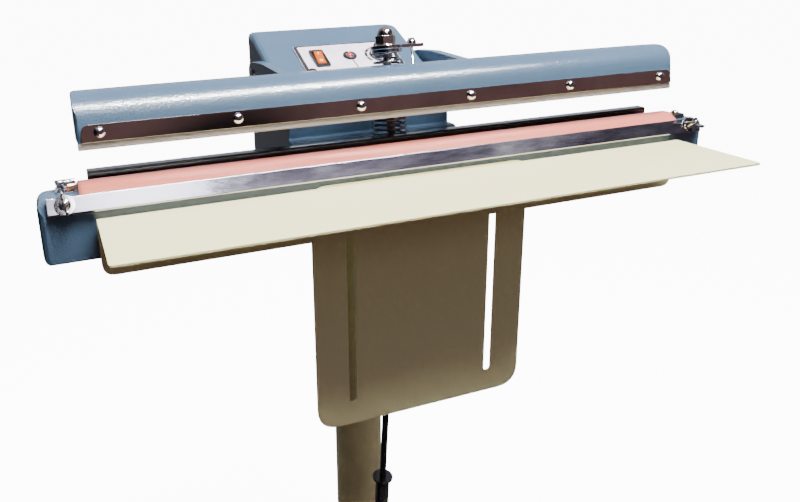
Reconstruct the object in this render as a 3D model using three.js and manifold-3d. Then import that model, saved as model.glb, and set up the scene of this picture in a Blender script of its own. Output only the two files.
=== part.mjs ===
// Foot-operated impulse heat sealer with a 600 mm seal: H-shaped base, pipe column, sealing head with a
// sprung upper jaw, pull rod and foot pedal, and a cream work table on a slotted plate.
// Millimetres, +Z up, X along the seal. Head parts are written in the head's own frame: Y from the front
// face of the upper jaw's strip and Z from the line of its screws, both with the jaw open.
import * as THREE from 'three';
import { mergeVertices } from 'three/addons/utils/BufferGeometryUtils.js';
import Module from 'manifold-3d';

const wasm = await Module();
wasm.setup();

// ---------------------------------------------------------------- driving dimensions
const SEAL_HEIGHT = 900; // floor to the jaw's screw line
const HEAD_Y = -70; // head frame's place along Y, so that the footprint is centred on the origin
const GAP = 0.3; // air left between pieces that rest on each other

const HINGE_Y = 195; // jaw hinge, behind the strip
const HINGE_Z = 5;
const OPEN_ANGLE = THREE.MathUtils.degToRad(8.2); // how far the jaw rests open

const JAW_HALF = 311;
const JAW_FRONT = 4; // front face of the casting, with the jaw closed
const JAW_BACK = 83;
const JAW_BOTTOM = -35.8;
const JAW_TOP = 7;
const JAW_WALL = 6;
const JAW_ROUND = 28; // radius of the casting's front upper edge
const STRIP_HALF = 307.4;
const STRIP_HEIGHT = 14.7;
const STRIP_THICK = 1.2;
const SCREW_PITCH = 117;
const SCREW_COUNT = 6;
const SCREW_RADIUS = 4.8;
const SHANK_RADIUS = 2;
const SILICONE_LEFT = -310.6;
const SILICONE_RIGHT = 308.5;
const SILICONE_DROP = 6.2; // how far the silicone stands below the strip
const SPRING_SEAT = -11.8; // underside of the spring seat in the jaw
const ARM_INNER = 97;
const ARM_OUTER = 109;
const ARM_EYE = 17;
const HINGE_PIN_RADIUS = 6;

const ROD_Y = 67.8; // upper rod, with the jaw closed
const ROD_RADIUS = 4.5;
const ROD_PIN_Z = -134.6;
const PLATE_Z = 23; // underside of the contact plate, with the jaw closed
const PLATE_THICK = 3.6;
const ADJUSTER_X = 29; // adjusting screw over the microswitch

const BEAM_HALF = 349;
const BEAM_FRONT = -13;
const BEAM_BACK = 44;
const BEAM_TOP = -50;
const BEAM_BOTTOM = -106;
const BEAM_WALL = 6;
const BEAM_END = 318; // past this the beam is narrower
const BEAM_END_BACK = 21.5;
const BAR_HALF = 341;
const CLOTH_HALF = 314.6;
const CLOTH_TOP = -42.3;
const CLOTH_THICK = 0.5;
const WING_NUT_X = 327;

const HOUSING_HALF = 95;
const HOUSING_FRONT = 111;
const HOUSING_BACK = 270;
const HOUSING_TOP = 47.5;
const HOUSING_BOTTOM = -103;
const HOUSING_WALL = 5;
const NECK_HALF = 97;
const NECK_TOP = -61;
const PANEL_Y = 185; // middle of the sloped control panel
const PANEL_Z = 19.5;
const PANEL_ANGLE = Math.atan2(28.5, 63);

const TABLE_HALF = 304.5;
const TABLE_TOP = -67;
const TABLE_FRONT = -129;
const TABLE_BACK = -16.3;
const TABLE_THICK = 2;
const FLANGE_BOTTOM = -120;
const PLATE_HALF = 117; // slotted plate behind the table
const PLATE_TOP = -67.5;
const PLATE_BOTTOM = -326;
const SLOT_X = 78.4;
const SLOT_WIDTH = 8;
const TABLE_BOLT_Z = -96;

const COLUMN_Y = 164;
const COLUMN_RADIUS = 30.25; // two-inch pipe
const COLUMN_WALL = 3;

const PEDAL_PIVOT_Y = 225; // pedal pivot, height above the floor
const PEDAL_PIVOT_H = 75;
const LINK_FOOT_Y = 118; // lower end of the pull rod
const LINK_FOOT_H = 85;
const PEDAL_REACH = 377.6;
const PEDAL_ARM_X = 38.5;

const LEG_X = 200;
const LEG_WIDTH = 40;
const LEG_FRONT = -120;
const LEG_BACK = 290;
const LEG_BOTTOM = 12;
const LEG_TOP = 47;
const CROSSBAR_FRONT = 128;
const CROSSBAR_BACK = 244;

// ---------------------------------------------------------------- materials
const paint = (color, roughness, metalness) => new THREE.MeshStandardMaterial({ color, roughness, metalness });
const hammertone = paint(0x6f93a6, 0.4, 0.1);
const cream = paint(0xe8e3c4, 0.35, 0);
const chrome = paint(0xd8d8dc, 0.08, 1);
const aluminium = paint(0xb9bcc4, 0.25, 1);
const steel = paint(0x6d6f73, 0.35, 1);
const blackPaint = paint(0x18181a, 0.4, 0.2);
const silicone = paint(0xcdc4b4, 0.6, 0);
const ptfe = paint(0xd79a86, 0.5, 0);
const rubber = paint(0x1a1a1a, 0.85, 0);
const labelWhite = paint(0xe9e4f0, 0.5, 0);
const orange = paint(0xf08a1c, 0.3, 0);
const redGlass = paint(0xb3202a, 0.2, 0);
const copper = paint(0x9b6a3a, 0.5, 0.4);
const board = paint(0x2f5a3a, 0.6, 0);

// ---------------------------------------------------------------- joining and cutting
function toSolid(geometry) {
  const bare = geometry.clone();
  bare.deleteAttribute('normal');
  bare.deleteAttribute('uv');
  const merged = mergeVertices(bare, 1e-4);
  const vertProperties = Float32Array.from(merged.attributes.position.array);
  const triVerts = Uint32Array.from(merged.index.array);
  return new wasm.Manifold(new wasm.Mesh({ numProp: 3, vertProperties, triVerts }));
}

function toGeometry(solid) {
  const mesh = solid.getMesh();
  const geometry = new THREE.BufferGeometry();
  geometry.setAttribute('position', new THREE.BufferAttribute(mesh.vertProperties, 3));
  geometry.setIndex(new THREE.BufferAttribute(mesh.triVerts, 1));
  return geometry;
}

const fold = (method) => (base, ...others) =>
  toGeometry(others.reduce((solid, other) => solid[method](toSolid(other)), toSolid(base)));
const cut = fold('subtract');
const fuse = fold('add');
const common = fold('intersect');

// ---------------------------------------------------------------- shapes
// An outline from corners [x, y, radius]; a corner without a radius stays sharp.
function outline(corners) {
  const shape = new THREE.Shape();
  corners.forEach(([x, y, radius = 0], index) => {
    const corner = new THREE.Vector2(x, y);
    const [beforeX, beforeY] = corners.at(index - 1);
    const [afterX, afterY] = corners[(index + 1) % corners.length];
    const toBefore = new THREE.Vector2(beforeX, beforeY).sub(corner).normalize();
    const toAfter = new THREE.Vector2(afterX, afterY).sub(corner).normalize();
    const reach = radius / Math.tan(Math.acos(toBefore.dot(toAfter)) / 2);
    const start = corner.clone().addScaledVector(toBefore, reach);
    const end = corner.clone().addScaledVector(toAfter, reach);
    if (index === 0) shape.moveTo(start.x, start.y);
    else shape.lineTo(start.x, start.y);
    if (radius > 0) shape.quadraticCurveTo(x, y, end.x, end.y);
  });
  shape.closePath();
  return shape;
}

const rectangle = (x0, y0, x1, y1, radius = 0) =>
  outline([[x0, y0, radius], [x1, y0, radius], [x1, y1, radius], [x0, y1, radius]]);

const X_AXIS = new THREE.Vector3(1, 0, 0);
const Y_AXIS = new THREE.Vector3(0, 1, 0);
const Z_AXIS = new THREE.Vector3(0, 0, 1);
const EXTRUDE_BASES = {
  x: new THREE.Matrix4().makeBasis(Y_AXIS, Z_AXIS, X_AXIS), // outline in Y, Z
  y: new THREE.Matrix4().makeBasis(X_AXIS, Z_AXIS, Y_AXIS.clone().negate()), // outline in X, Z
  z: new THREE.Matrix4(), // outline in X, Y
};

// An outline extruded along one axis from one place to another.
function slab(shape, axis, from, to, curveSegments = 4) {
  const geometry = new THREE.ExtrudeGeometry(shape, { depth: to - from, bevelEnabled: false, curveSegments });
  geometry.applyMatrix4(EXTRUDE_BASES[axis]);
  const shift = { x: [from, 0, 0], y: [0, to, 0], z: [0, 0, from] }[axis];
  return geometry.translate(...shift);
}

function block(x0, x1, y0, y1, z0, z1) {
  const geometry = new THREE.BoxGeometry(x1 - x0, y1 - y0, z1 - z0);
  return geometry.translate((x0 + x1) / 2, (y0 + y1) / 2, (z0 + z1) / 2);
}

// A round bar between two points.
function bar(radius, from, to, sides = 16) {
  const start = new THREE.Vector3(...from);
  const end = new THREE.Vector3(...to);
  const geometry = new THREE.CylinderGeometry(radius, radius, start.distanceTo(end), sides);
  const turn = new THREE.Quaternion().setFromUnitVectors(Y_AXIS, end.clone().sub(start).normalize());
  const middle = start.add(end).multiplyScalar(0.5);
  return geometry.applyQuaternion(turn).translate(middle.x, middle.y, middle.z);
}

// A turned piece: profile of [radius, height] from the axis back to the axis, standing on a point.
function turned(profile, at, axis = Z_AXIS, sides = 16) {
  const geometry = new THREE.LatheGeometry(profile.map(([r, h]) => new THREE.Vector2(r, h)), sides);
  const turn = new THREE.Quaternion().setFromUnitVectors(Y_AXIS, axis);
  return geometry.applyQuaternion(turn).translate(...at);
}

class Coil extends THREE.Curve {
  constructor(foot, top, radius, turns) {
    super();
    Object.assign(this, { foot: new THREE.Vector3(...foot), top: new THREE.Vector3(...top), radius, turns });
  }
  getPoint(t, target = new THREE.Vector3()) {
    const angle = 2 * Math.PI * this.turns * t;
    target.copy(this.foot).lerp(this.top, t);
    return target.add(new THREE.Vector3(this.radius * Math.cos(angle), this.radius * Math.sin(angle), 0));
  }
}

function spring(foot, top, radius, turns, wire, stepsPerTurn = 11) {
  const section = new THREE.Shape();
  section.absarc(0, 0, wire / 2, 0, 2 * Math.PI);
  const extrudePath = new Coil(foot, top, radius, turns);
  const steps = Math.round(turns * stepsPerTurn);
  return new THREE.ExtrudeGeometry(section, { steps, extrudePath, curveSegments: 3 });
}

// ---------------------------------------------------------------- the assembly tree
const sealer = new THREE.Group();
const stand = new THREE.Group(); // heights above the floor
stand.position.set(0, HEAD_Y, 0);
const head = new THREE.Group();
head.position.set(0, HEAD_Y, SEAL_HEIGHT);
sealer.add(stand, head);

// The jaw and its rod are written as if closed, in the head's frame, and turned open about the hinge.
const hinge = new THREE.Group();
hinge.position.set(0, HINGE_Y, HINGE_Z);
hinge.rotation.x = -OPEN_ANGLE;
const jaw = new THREE.Group();
jaw.position.set(0, -HINGE_Y, -HINGE_Z);
hinge.add(jaw);
head.add(hinge);

// The control panel's own frame: X along it, Y up the slope, Z out of it.
const panel = new THREE.Group();
panel.position.set(0, PANEL_Y, PANEL_Z);
panel.rotation.x = PANEL_ANGLE;
head.add(panel);

function place(parent, name, geometry, material) {
  const mesh = new THREE.Mesh(geometry, material);
  mesh.name = name;
  parent.add(mesh);
  return mesh;
}

const SIDES = [['left', -1], ['right', 1]];

// A block or outline on the sloped panel, moved into the head's frame.
const onPanel = (geometry) => geometry.rotateX(PANEL_ANGLE).translate(0, PANEL_Y, PANEL_Z);

// ---------------------------------------------------------------- base and column
// Each leg is a rectangular tube; a moulded rubber shoe plugs each end and stands on the floor.
function addBase() {
  const wall = 2.5;
  const endPlate = 5;
  for (const [side, sign] of SIDES) {
    const left = sign * LEG_X - LEG_WIDTH / 2;
    const right = sign * LEG_X + LEG_WIDTH / 2;
    const front = LEG_FRONT + endPlate + GAP;
    const back = LEG_BACK - endPlate - GAP;
    const tube = slab(rectangle(left, LEG_BOTTOM, right, LEG_TOP, 4), 'y', front, back, 2);
    const bore = block(left + wall, right - wall, front - 1, back + 1, LEG_BOTTOM + wall, LEG_TOP - wall);
    place(stand, `base_leg_${side}`, cut(tube, bore), cream);
    for (const [end, y, inward] of [['front', LEG_FRONT, 1], ['rear', LEG_BACK, -1]]) {
      const shoe = slab(outline([
        [0, 0, 3], [50, 0, 3], [50, LEG_BOTTOM - GAP], [endPlate, LEG_BOTTOM - GAP],
        [endPlate, LEG_TOP + 0.5], [0, LEG_TOP + 0.5, 3],
      ]), 'x', left, right, 3);
      const plug = block(left + wall + 0.5, right - wall - 0.5, 3, 20, LEG_BOTTOM + wall + 0.5, LEG_TOP - wall - 0.5);
      const foot = fuse(shoe, plug);
      if (inward < 0) foot.rotateZ(Math.PI).translate(2 * sign * LEG_X, 0, 0);
      place(stand, `foot_${end}_${side}`, foot.translate(0, y, 0), rubber);
    }
  }
  const reach = LEG_X - LEG_WIDTH / 2 - GAP;
  const beam = slab(rectangle(CROSSBAR_FRONT, LEG_BOTTOM, CROSSBAR_BACK, LEG_TOP, 4), 'x', -reach, reach, 2);
  const bore = block(-reach - 1, reach + 1, CROSSBAR_FRONT + 3, CROSSBAR_BACK - 3, LEG_BOTTOM + 3, LEG_TOP - 3);
  place(stand, 'base_crossbar', cut(beam, bore), cream);
}

function addColumn() {
  const foot = LEG_TOP + GAP;
  const flangeTop = foot + 6;
  const top = SEAL_HEIGHT + HOUSING_BOTTOM - 6 - GAP;
  const flange = slab(rectangle(-55, COLUMN_Y - 34, 55, COLUMN_Y + 34, 10), 'z', foot, flangeTop, 3);
  const pipe = bar(COLUMN_RADIUS, [0, COLUMN_Y, flangeTop - 1], [0, COLUMN_Y, top], 28);
  const bore = bar(COLUMN_RADIUS - COLUMN_WALL, [0, COLUMN_Y, flangeTop], [0, COLUMN_Y, top + 5], 28);
  place(stand, 'column', cut(fuse(flange, pipe), bore), cream);
}

// ---------------------------------------------------------------- head: castings and covers
function addSealBeam() {
  const plan = outline([
    [-BEAM_HALF, BEAM_FRONT, 8], [BEAM_HALF, BEAM_FRONT, 8], [BEAM_HALF, BEAM_END_BACK, 12],
    [BEAM_END, BEAM_END_BACK, 4], [BEAM_END - 8, BEAM_BACK, 4], [8 - BEAM_END, BEAM_BACK, 4],
    [-BEAM_END, BEAM_END_BACK, 4], [-BEAM_HALF, BEAM_END_BACK, 12],
  ]);
  const section = outline([
    [BEAM_FRONT, BEAM_BOTTOM, 3], [BEAM_BACK, BEAM_BOTTOM, 3], [BEAM_BACK, BEAM_TOP, 4],
    [-7.5, BEAM_TOP], [BEAM_FRONT, BEAM_TOP - 13.5],
  ]);
  const front = outline([
    [-BEAM_HALF, BEAM_BOTTOM, 8], [BEAM_HALF, BEAM_BOTTOM, 8], [BEAM_HALF, BEAM_TOP, 9], [-BEAM_HALF, BEAM_TOP, 9],
  ]);
  const outside = common(
    slab(plan, 'z', BEAM_BOTTOM - 1, BEAM_TOP + 1),
    slab(section, 'x', -BEAM_HALF - 1, BEAM_HALF + 1),
    slab(front, 'y', BEAM_FRONT - 1, BEAM_BACK + 1),
  );
  const hollows = [[BEAM_HALF, BEAM_END_BACK], [BEAM_END - 8, BEAM_BACK]].map(([end, back]) => {
    const reach = end - 2 * BEAM_WALL;
    return block(-reach, reach, BEAM_FRONT + BEAM_WALL, back - BEAM_WALL, BEAM_BOTTOM - 2, BEAM_TOP - 9);
  });
  const boltHoles = SIDES.map(([, sign]) =>
    bar(3.4, [sign * SLOT_X, BEAM_FRONT - 2, TABLE_BOLT_Z], [sign * SLOT_X, BEAM_FRONT + 9, TABLE_BOLT_Z], 12));
  place(head, 'seal_beam', cut(outside, ...hollows, ...boltHoles), hammertone);
}

function addHousing() {
  const slope = Math.tan(PANEL_ANGLE);
  const slopeZ = (y) => PANEL_Z + (y - PANEL_Y) * slope;
  const ridgeY = PANEL_Y + (HOUSING_TOP - PANEL_Z) / slope;
  const section = outline([
    [HOUSING_FRONT - 6, HOUSING_BOTTOM], [HOUSING_BACK, HOUSING_BOTTOM, 4], [HOUSING_BACK, HOUSING_TOP, 12],
    [ridgeY, HOUSING_TOP, 12], [HOUSING_FRONT, slopeZ(HOUSING_FRONT), 12], [HOUSING_FRONT, -53, 4],
    [HOUSING_FRONT - 6, -55, 2],
  ]);
  const plan = outline([
    [-HOUSING_HALF, HOUSING_FRONT - 20], [HOUSING_HALF, HOUSING_FRONT - 20],
    [HOUSING_HALF, HOUSING_BACK, 14], [-HOUSING_HALF, HOUSING_BACK, 14],
  ]);
  const front = outline([
    [-HOUSING_HALF, HOUSING_BOTTOM], [HOUSING_HALF, HOUSING_BOTTOM],
    [HOUSING_HALF, HOUSING_TOP, 12], [-HOUSING_HALF, HOUSING_TOP, 12],
  ]);
  const across = slab(outline([
    [-HOUSING_HALF, -220], [HOUSING_HALF, -220], [HOUSING_HALF, 0, 9], [-HOUSING_HALF, 0, 9],
  ]), 'y', -200, 260);
  const shellOutside = common(
    slab(section, 'x', -HOUSING_HALF - 1, HOUSING_HALF + 1),
    slab(plan, 'z', HOUSING_BOTTOM - 1, HOUSING_TOP + 1),
    slab(front, 'y', 0, HOUSING_BACK + 1),
    onPanel(across),
  );
  const neckFront = BEAM_BACK + GAP;
  const neckSection = outline([
    [neckFront, HOUSING_BOTTOM], [HOUSING_FRONT + 4, HOUSING_BOTTOM], [HOUSING_FRONT + 4, -52],
    [HOUSING_FRONT - 14, -52, 6], [HOUSING_FRONT - 22, NECK_TOP, 4], [neckFront, NECK_TOP, 3],
  ]);
  const neckPlan = outline([
    [-NECK_HALF, neckFront, 6], [NECK_HALF, neckFront, 6],
    [NECK_HALF, HOUSING_FRONT + 4, 8], [-NECK_HALF, HOUSING_FRONT + 4, 8],
  ]);
  const neck = common(
    slab(neckSection, 'x', -NECK_HALF - 1, NECK_HALF + 1),
    slab(neckPlan, 'z', HOUSING_BOTTOM - 1, NECK_TOP + 20),
  );
  const inner = HOUSING_HALF - HOUSING_WALL;
  const hollow = slab(outline([
    [neckFront + HOUSING_WALL, HOUSING_BOTTOM - 2], [HOUSING_BACK - HOUSING_WALL, HOUSING_BOTTOM - 2],
    [HOUSING_BACK - HOUSING_WALL, HOUSING_TOP - HOUSING_WALL, 6],
    [ridgeY, HOUSING_TOP - HOUSING_WALL, 6],
    [HOUSING_FRONT + HOUSING_WALL, slopeZ(HOUSING_FRONT + HOUSING_WALL) - HOUSING_WALL, 6],
    [HOUSING_FRONT + HOUSING_WALL, NECK_TOP - HOUSING_WALL], [neckFront + HOUSING_WALL, NECK_TOP - HOUSING_WALL],
  ]), 'x', -inner, inner, 3);
  const rodSlot = block(-8, 8, BEAM_BACK - 1, 76, HOUSING_BOTTOM - 2, NECK_TOP + 2);
  const panelWindow = onPanel(block(-46, 58, -22, 17, -HOUSING_WALL - 6, 3));
  const pinHole = bar(HINGE_PIN_RADIUS + GAP, [-120, HINGE_Y, HINGE_Z], [120, HINGE_Y, HINGE_Z], 20);
  const glandHole = bar(8.4, [-50, HOUSING_BACK - 12, -75], [-50, HOUSING_BACK + 5, -75], 16);
  const casting = cut(fuse(shellOutside, neck), hollow, rodSlot, panelWindow, pinHole, glandHole);
  place(head, 'control_housing', casting, hammertone);
}

function addHousingFloor() {
  const bottom = HOUSING_BOTTOM - 6;
  const plate = slab(rectangle(-88, 50, 88, HOUSING_BACK - 4, 6), 'z', bottom, HOUSING_BOTTOM - GAP, 3);
  const collar = bar(38, [0, COLUMN_Y, bottom - 30], [0, COLUMN_Y, bottom + 1], 28);
  const socket = bar(COLUMN_RADIUS + 0.5, [0, COLUMN_Y, bottom - 40], [0, COLUMN_Y, bottom - 0.1], 28);
  const rodSlot = block(-10, 10, 40, 80, bottom - 2, HOUSING_BOTTOM + 2);
  place(head, 'housing_floor', cut(fuse(plate, collar), socket, rodSlot), cream);
}

// ---------------------------------------------------------------- head: lower sealing side
function addLowerSeal() {
  const barSection = outline([
    [-11.5, -47.8, 0.8], [-18, -60.6], [-17.4, -62.7, 0.8], [-14.6, -61.2], [-9.4, -48.8, 0.8],
  ]);
  place(head, 'front_bar', slab(barSection, 'x', -BAR_HALF, BAR_HALF, 2), aluminium);
  place(head, 'seal_bar', block(-312, 312, 1.5, 12.5, BEAM_TOP + GAP, CLOTH_TOP - 1.2), aluminium);
  place(head, 'heating_element', block(-316, 316, 5.5, 8.5, CLOTH_TOP - 1, CLOTH_TOP - 0.7), steel);
  const ridge = [[-8.6, -48.8], [0.8, CLOTH_TOP], [13.2, CLOTH_TOP], [29, -48.4]];
  const underside = ridge.map(([y, z]) => [y, z - CLOTH_THICK]).reverse();
  place(head, 'release_cloth', slab(outline([...underside, ...ridge]), 'x', -CLOTH_HALF, CLOTH_HALF), ptfe);
  const clamp = rectangle(30, BEAM_TOP + GAP, BEAM_BACK - 0.5, -40.3, 2);
  place(head, 'cloth_clamp_strip', slab(clamp, 'x', -305, 305, 2), blackPaint);
  const foot = block(-333, -319, 3, 21, BEAM_TOP + GAP, -46);
  const post = bar(2.5, [-330, 12, -47], [-330, 12, -38], 8);
  const coil = bar(2.6, [-332, 12, -40], [-315, 12, -40], 10);
  place(head, 'element_tensioner', fuse(foot, post, coil), steel);
  const terminal = block(318, 334, 0, 14, BEAM_TOP + GAP, -45);
  const terminalScrew = turned([[0, 0], [3.8, 0], [3.8, 1.5], [2.4, 3.2], [0, 3.6]], [326, 7, -45.5], Z_AXIS, 10);
  place(head, 'terminal_block', fuse(terminal, terminalScrew), blackPaint);
}

// A wing nut on its washer, standing on the slanted face of the front bar.
function addWingNuts() {
  const faceAngle = Math.atan2(-12.8, -6.5) + Math.PI / 2; // lean of the bar's face from upright
  for (const [side, sign, turn] of [['left', -1, 0.15], ['right', 1, 0.9]]) {
    const washer = bar(7, [0, 0, 0.2], [0, 0, 1.6]);
    const hub = turned([[0, 1], [4.8, 1], [3.6, 7], [2.2, 7.6], [0, 7.6]], [0, 0, 0], Z_AXIS, 12);
    const wings = slab(outline([
      [-3, 3], [3, 3], [10.5, 8, 1.5], [10.5, 13.5, 2.5], [6, 12.5, 2], [3, 7], [-3, 7],
      [-6, 12.5, 2], [-10.5, 13.5, 2.5], [-10.5, 8, 1.5],
    ]), 'y', -0.9, 0.9, 2);
    const nut = fuse(washer, hub, wings).rotateZ(Math.PI / 2 + turn).rotateX(Math.PI / 2 + faceAngle);
    const mesh = place(head, `wing_nut_${side}`, nut, chrome);
    mesh.position.set(sign * WING_NUT_X, -14.75, -54.2);
  }
}

// ---------------------------------------------------------------- head: upper jaw
function addJaw() {
  const plan = outline([
    [-JAW_HALF, JAW_FRONT, 5], [JAW_HALF, JAW_FRONT, 5], [JAW_HALF, JAW_FRONT + 46, 18],
    [215, JAW_BACK, 40], [-215, JAW_BACK, 40], [-JAW_HALF, JAW_FRONT + 46, 18],
  ]);
  const section = outline([
    [JAW_FRONT, JAW_BOTTOM, 1], [JAW_BACK, JAW_BOTTOM + 6, 3], [JAW_BACK, JAW_TOP, 7], [JAW_FRONT, JAW_TOP, JAW_ROUND],
  ]);
  const front = outline([
    [-JAW_HALF, JAW_BOTTOM - 1], [JAW_HALF, JAW_BOTTOM - 1], [JAW_HALF, JAW_TOP, 4], [-JAW_HALF, JAW_TOP, 4],
  ]);
  const outside = common(
    slab(plan, 'z', JAW_BOTTOM - 2, JAW_TOP + 1, 5),
    slab(section, 'x', -JAW_HALF - 1, JAW_HALF + 1, 10),
    slab(front, 'y', JAW_FRONT - 1, JAW_BACK + 1, 4),
  );
  const hollowPlan = outline([
    [-JAW_HALF + 8, JAW_FRONT + 20], [JAW_HALF - 8, JAW_FRONT + 20], [JAW_HALF - 8, JAW_FRONT + 38],
    [213, JAW_BACK - JAW_WALL], [-213, JAW_BACK - JAW_WALL], [-JAW_HALF + 8, JAW_FRONT + 38],
  ]);
  const hollow = slab(hollowPlan, 'z', JAW_BOTTOM - 3, JAW_TOP - JAW_WALL);
  const groove = block(-JAW_HALF - 1, SILICONE_RIGHT + GAP, 6.5, 14.5, JAW_BOTTOM - 3, JAW_BOTTOM + 6.5);
  const seat = bar(21, [0, ROD_Y, SPRING_SEAT], [0, ROD_Y, JAW_TOP - 3], 20);
  const springRoom = bar(21.5, [0, ROD_Y, -60], [0, ROD_Y, SPRING_SEAT], 20);
  const rodHole = bar(ROD_RADIUS + 1.2, [0, ROD_Y, -60], [0, ROD_Y, 10], 16);
  const screwHole = bar(3, [ADJUSTER_X, ROD_Y, -30], [ADJUSTER_X, ROD_Y, 10], 10);
  const tappedHoles = screwPlaces().map((x) =>
    bar(SHANK_RADIUS + GAP, [x, JAW_FRONT - 2, screwHeight()], [x, JAW_FRONT + 9, screwHeight()], 8));
  const seatInside = common(seat, slab(plan, 'z', JAW_BOTTOM, JAW_TOP, 5));
  const shell = fuse(cut(outside, hollow, groove), seatInside);
  place(jaw, 'upper_jaw', cut(shell, springRoom, rodHole, screwHole, ...tappedHoles), hammertone);
}

const screwHeight = () => JAW_BOTTOM + 8;
const screwPlaces = () => Array.from({ length: SCREW_COUNT }, (_, i) => (i - (SCREW_COUNT - 1) / 2) * SCREW_PITCH);

function addJawFront() {
  const back = JAW_FRONT - 0.1;
  const strip = slab(outline([
    [-STRIP_HALF, JAW_BOTTOM], [STRIP_HALF, JAW_BOTTOM],
    [STRIP_HALF, JAW_BOTTOM + STRIP_HEIGHT, 8], [-STRIP_HALF, JAW_BOTTOM + STRIP_HEIGHT, 8],
  ]), 'y', back - STRIP_THICK, back);
  const holes = screwPlaces().map((x) =>
    bar(SHANK_RADIUS + GAP, [x, back - 3, screwHeight()], [x, back + 3, screwHeight()], 8));
  place(jaw, 'chrome_strip', cut(strip, ...holes), chrome);
  const tip = 8;
  const profile = [
    [0, -tip], [SHANK_RADIUS, -tip], [SHANK_RADIUS, 0.1], [SCREW_RADIUS, 0.1], [SCREW_RADIUS, 1],
    [SCREW_RADIUS * 0.85, 2.4], [SCREW_RADIUS * 0.5, 3.4], [0, 3.8],
  ];
  screwPlaces().forEach((x, index) => {
    const screw = turned(profile, [x, back - STRIP_THICK, screwHeight()], Y_AXIS.clone().negate(), 14);
    place(jaw, `strip_screw_${index + 1}`, screw, chrome);
  });
  const rubberSection = outline([
    [4.6, JAW_BOTTOM - SILICONE_DROP, 1.5], [16, JAW_BOTTOM - SILICONE_DROP, 1.5], [16, JAW_BOTTOM - GAP],
    [14.2, JAW_BOTTOM - GAP], [14.2, JAW_BOTTOM + 6], [6.8, JAW_BOTTOM + 6], [6.8, JAW_BOTTOM - GAP],
    [4.6, JAW_BOTTOM - GAP],
  ]);
  place(jaw, 'silicone_strip', slab(rubberSection, 'x', SILICONE_LEFT, SILICONE_RIGHT, 2), silicone);
}

function addJawArms() {
  for (const [side, sign] of SIDES) {
    const arm = slab(outline([
      [JAW_BACK + GAP, -24, 2], [HINGE_Y - 10, HINGE_Z - ARM_EYE, 20], [HINGE_Y + ARM_EYE, HINGE_Z - ARM_EYE, 14],
      [HINGE_Y + ARM_EYE, HINGE_Z + ARM_EYE, 16], [HINGE_Y - 40, HINGE_Z + ARM_EYE - 4, 40],
      [JAW_BACK + GAP, JAW_TOP - 1.5, 2],
    ]), 'x', Math.min(sign * ARM_INNER, sign * ARM_OUTER), Math.max(sign * ARM_INNER, sign * ARM_OUTER), 5);
    const hole = bar(HINGE_PIN_RADIUS + GAP, [80 * sign, HINGE_Y, HINGE_Z], [120 * sign, HINGE_Y, HINGE_Z], 20);
    place(jaw, `jaw_arm_${side}`, cut(arm, hole), hammertone);
    const axis = X_AXIS.clone().multiplyScalar(sign);
    const profile = [[0, 0], [HINGE_PIN_RADIUS, 0], [HINGE_PIN_RADIUS, 35.4], [8, 35.4], [8, 36.4], [7, 37.2], [0, 37.2]];
    place(head, `hinge_pin_${side}`, turned(profile, [74 * sign, HINGE_Y, HINGE_Z], axis, 20), chrome);
  }
}

function addMicroswitch() {
  const top = JAW_TOP - JAW_WALL - 4;
  place(jaw, 'microswitch', block(ADJUSTER_X - 5, ADJUSTER_X + 17, ROD_Y - 5, ROD_Y + 5, top - 14, top), blackPaint);
}

// ---------------------------------------------------------------- pull rod, contact plate and springs
function addUpperRod() {
  const eye = bar(9, [-4, ROD_Y, ROD_PIN_Z], [4, ROD_Y, ROD_PIN_Z]);
  const shaft = bar(ROD_RADIUS, [0, ROD_Y, ROD_PIN_Z + 5], [0, ROD_Y, PLATE_Z + PLATE_THICK + 12], 14);
  const pinHole = bar(3.3, [-9, ROD_Y, ROD_PIN_Z], [9, ROD_Y, ROD_PIN_Z], 14);
  place(jaw, 'upper_rod', cut(fuse(eye, shaft), pinHole), steel);

  const shape = new THREE.Shape();
  shape.absarc(0, 0, 17, Math.PI * 0.25, Math.PI * 1.75);
  shape.lineTo(34, -8);
  shape.absarc(34, 0, 8, -Math.PI / 2, Math.PI / 2);
  shape.closePath();
  const strap = slab(shape, 'z', PLATE_Z, PLATE_Z + PLATE_THICK, 10).translate(0, ROD_Y, 0);
  const shaftHole = bar(ROD_RADIUS + GAP, [0, ROD_Y, 0], [0, ROD_Y, 60], 14);
  const screwHole = bar(2.1, [ADJUSTER_X, ROD_Y, 0], [ADJUSTER_X, ROD_Y, 60], 10);
  place(jaw, 'contact_plate', cut(strap, shaftHole, screwHole), chrome);

  const nutFoot = PLATE_Z + PLATE_THICK + GAP;
  const hexagon = turned([[0, 0], [10.6, 0], [10.6, 9], [9, 10], [0, 10]], [0, ROD_Y, nutFoot], Z_AXIS, 6);
  const dome = turned([[0, 9], [8.6, 9], [8.6, 12.5], [7.2, 16.2], [4.6, 18.6], [0, 19.6]], [0, ROD_Y, nutFoot]);
  const socket = bar(ROD_RADIUS + GAP, [0, ROD_Y, nutFoot - 2], [0, ROD_Y, nutFoot + 12.2], 14);
  place(jaw, 'acorn_nut', cut(fuse(hexagon, dome), socket), chrome);

  const screwProfile = [
    [0, -22.5], [1.7, -22.5], [1.7, 0.1], [5, 0.1], [5, 2], [4, 4.6], [2.2, 6], [0, 6.4],
  ];
  const screwSeat = [ADJUSTER_X, ROD_Y, PLATE_Z + PLATE_THICK];
  place(jaw, 'adjusting_screw', turned(screwProfile, screwSeat, Z_AXIS, 12), chrome);

  const pressure = spring([0, ROD_Y, JAW_TOP + 1.6], [0, ROD_Y, PLATE_Z - 1.6], 13.2, 2.5, 2.4);
  place(jaw, 'pressure_spring', pressure, chrome);
  const returnTop = [0, 65, 1.5];
  place(head, 'return_spring', spring([0, 64, NECK_TOP + 1.5], returnTop, 17.6, 13, 2.2), steel);
}

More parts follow.
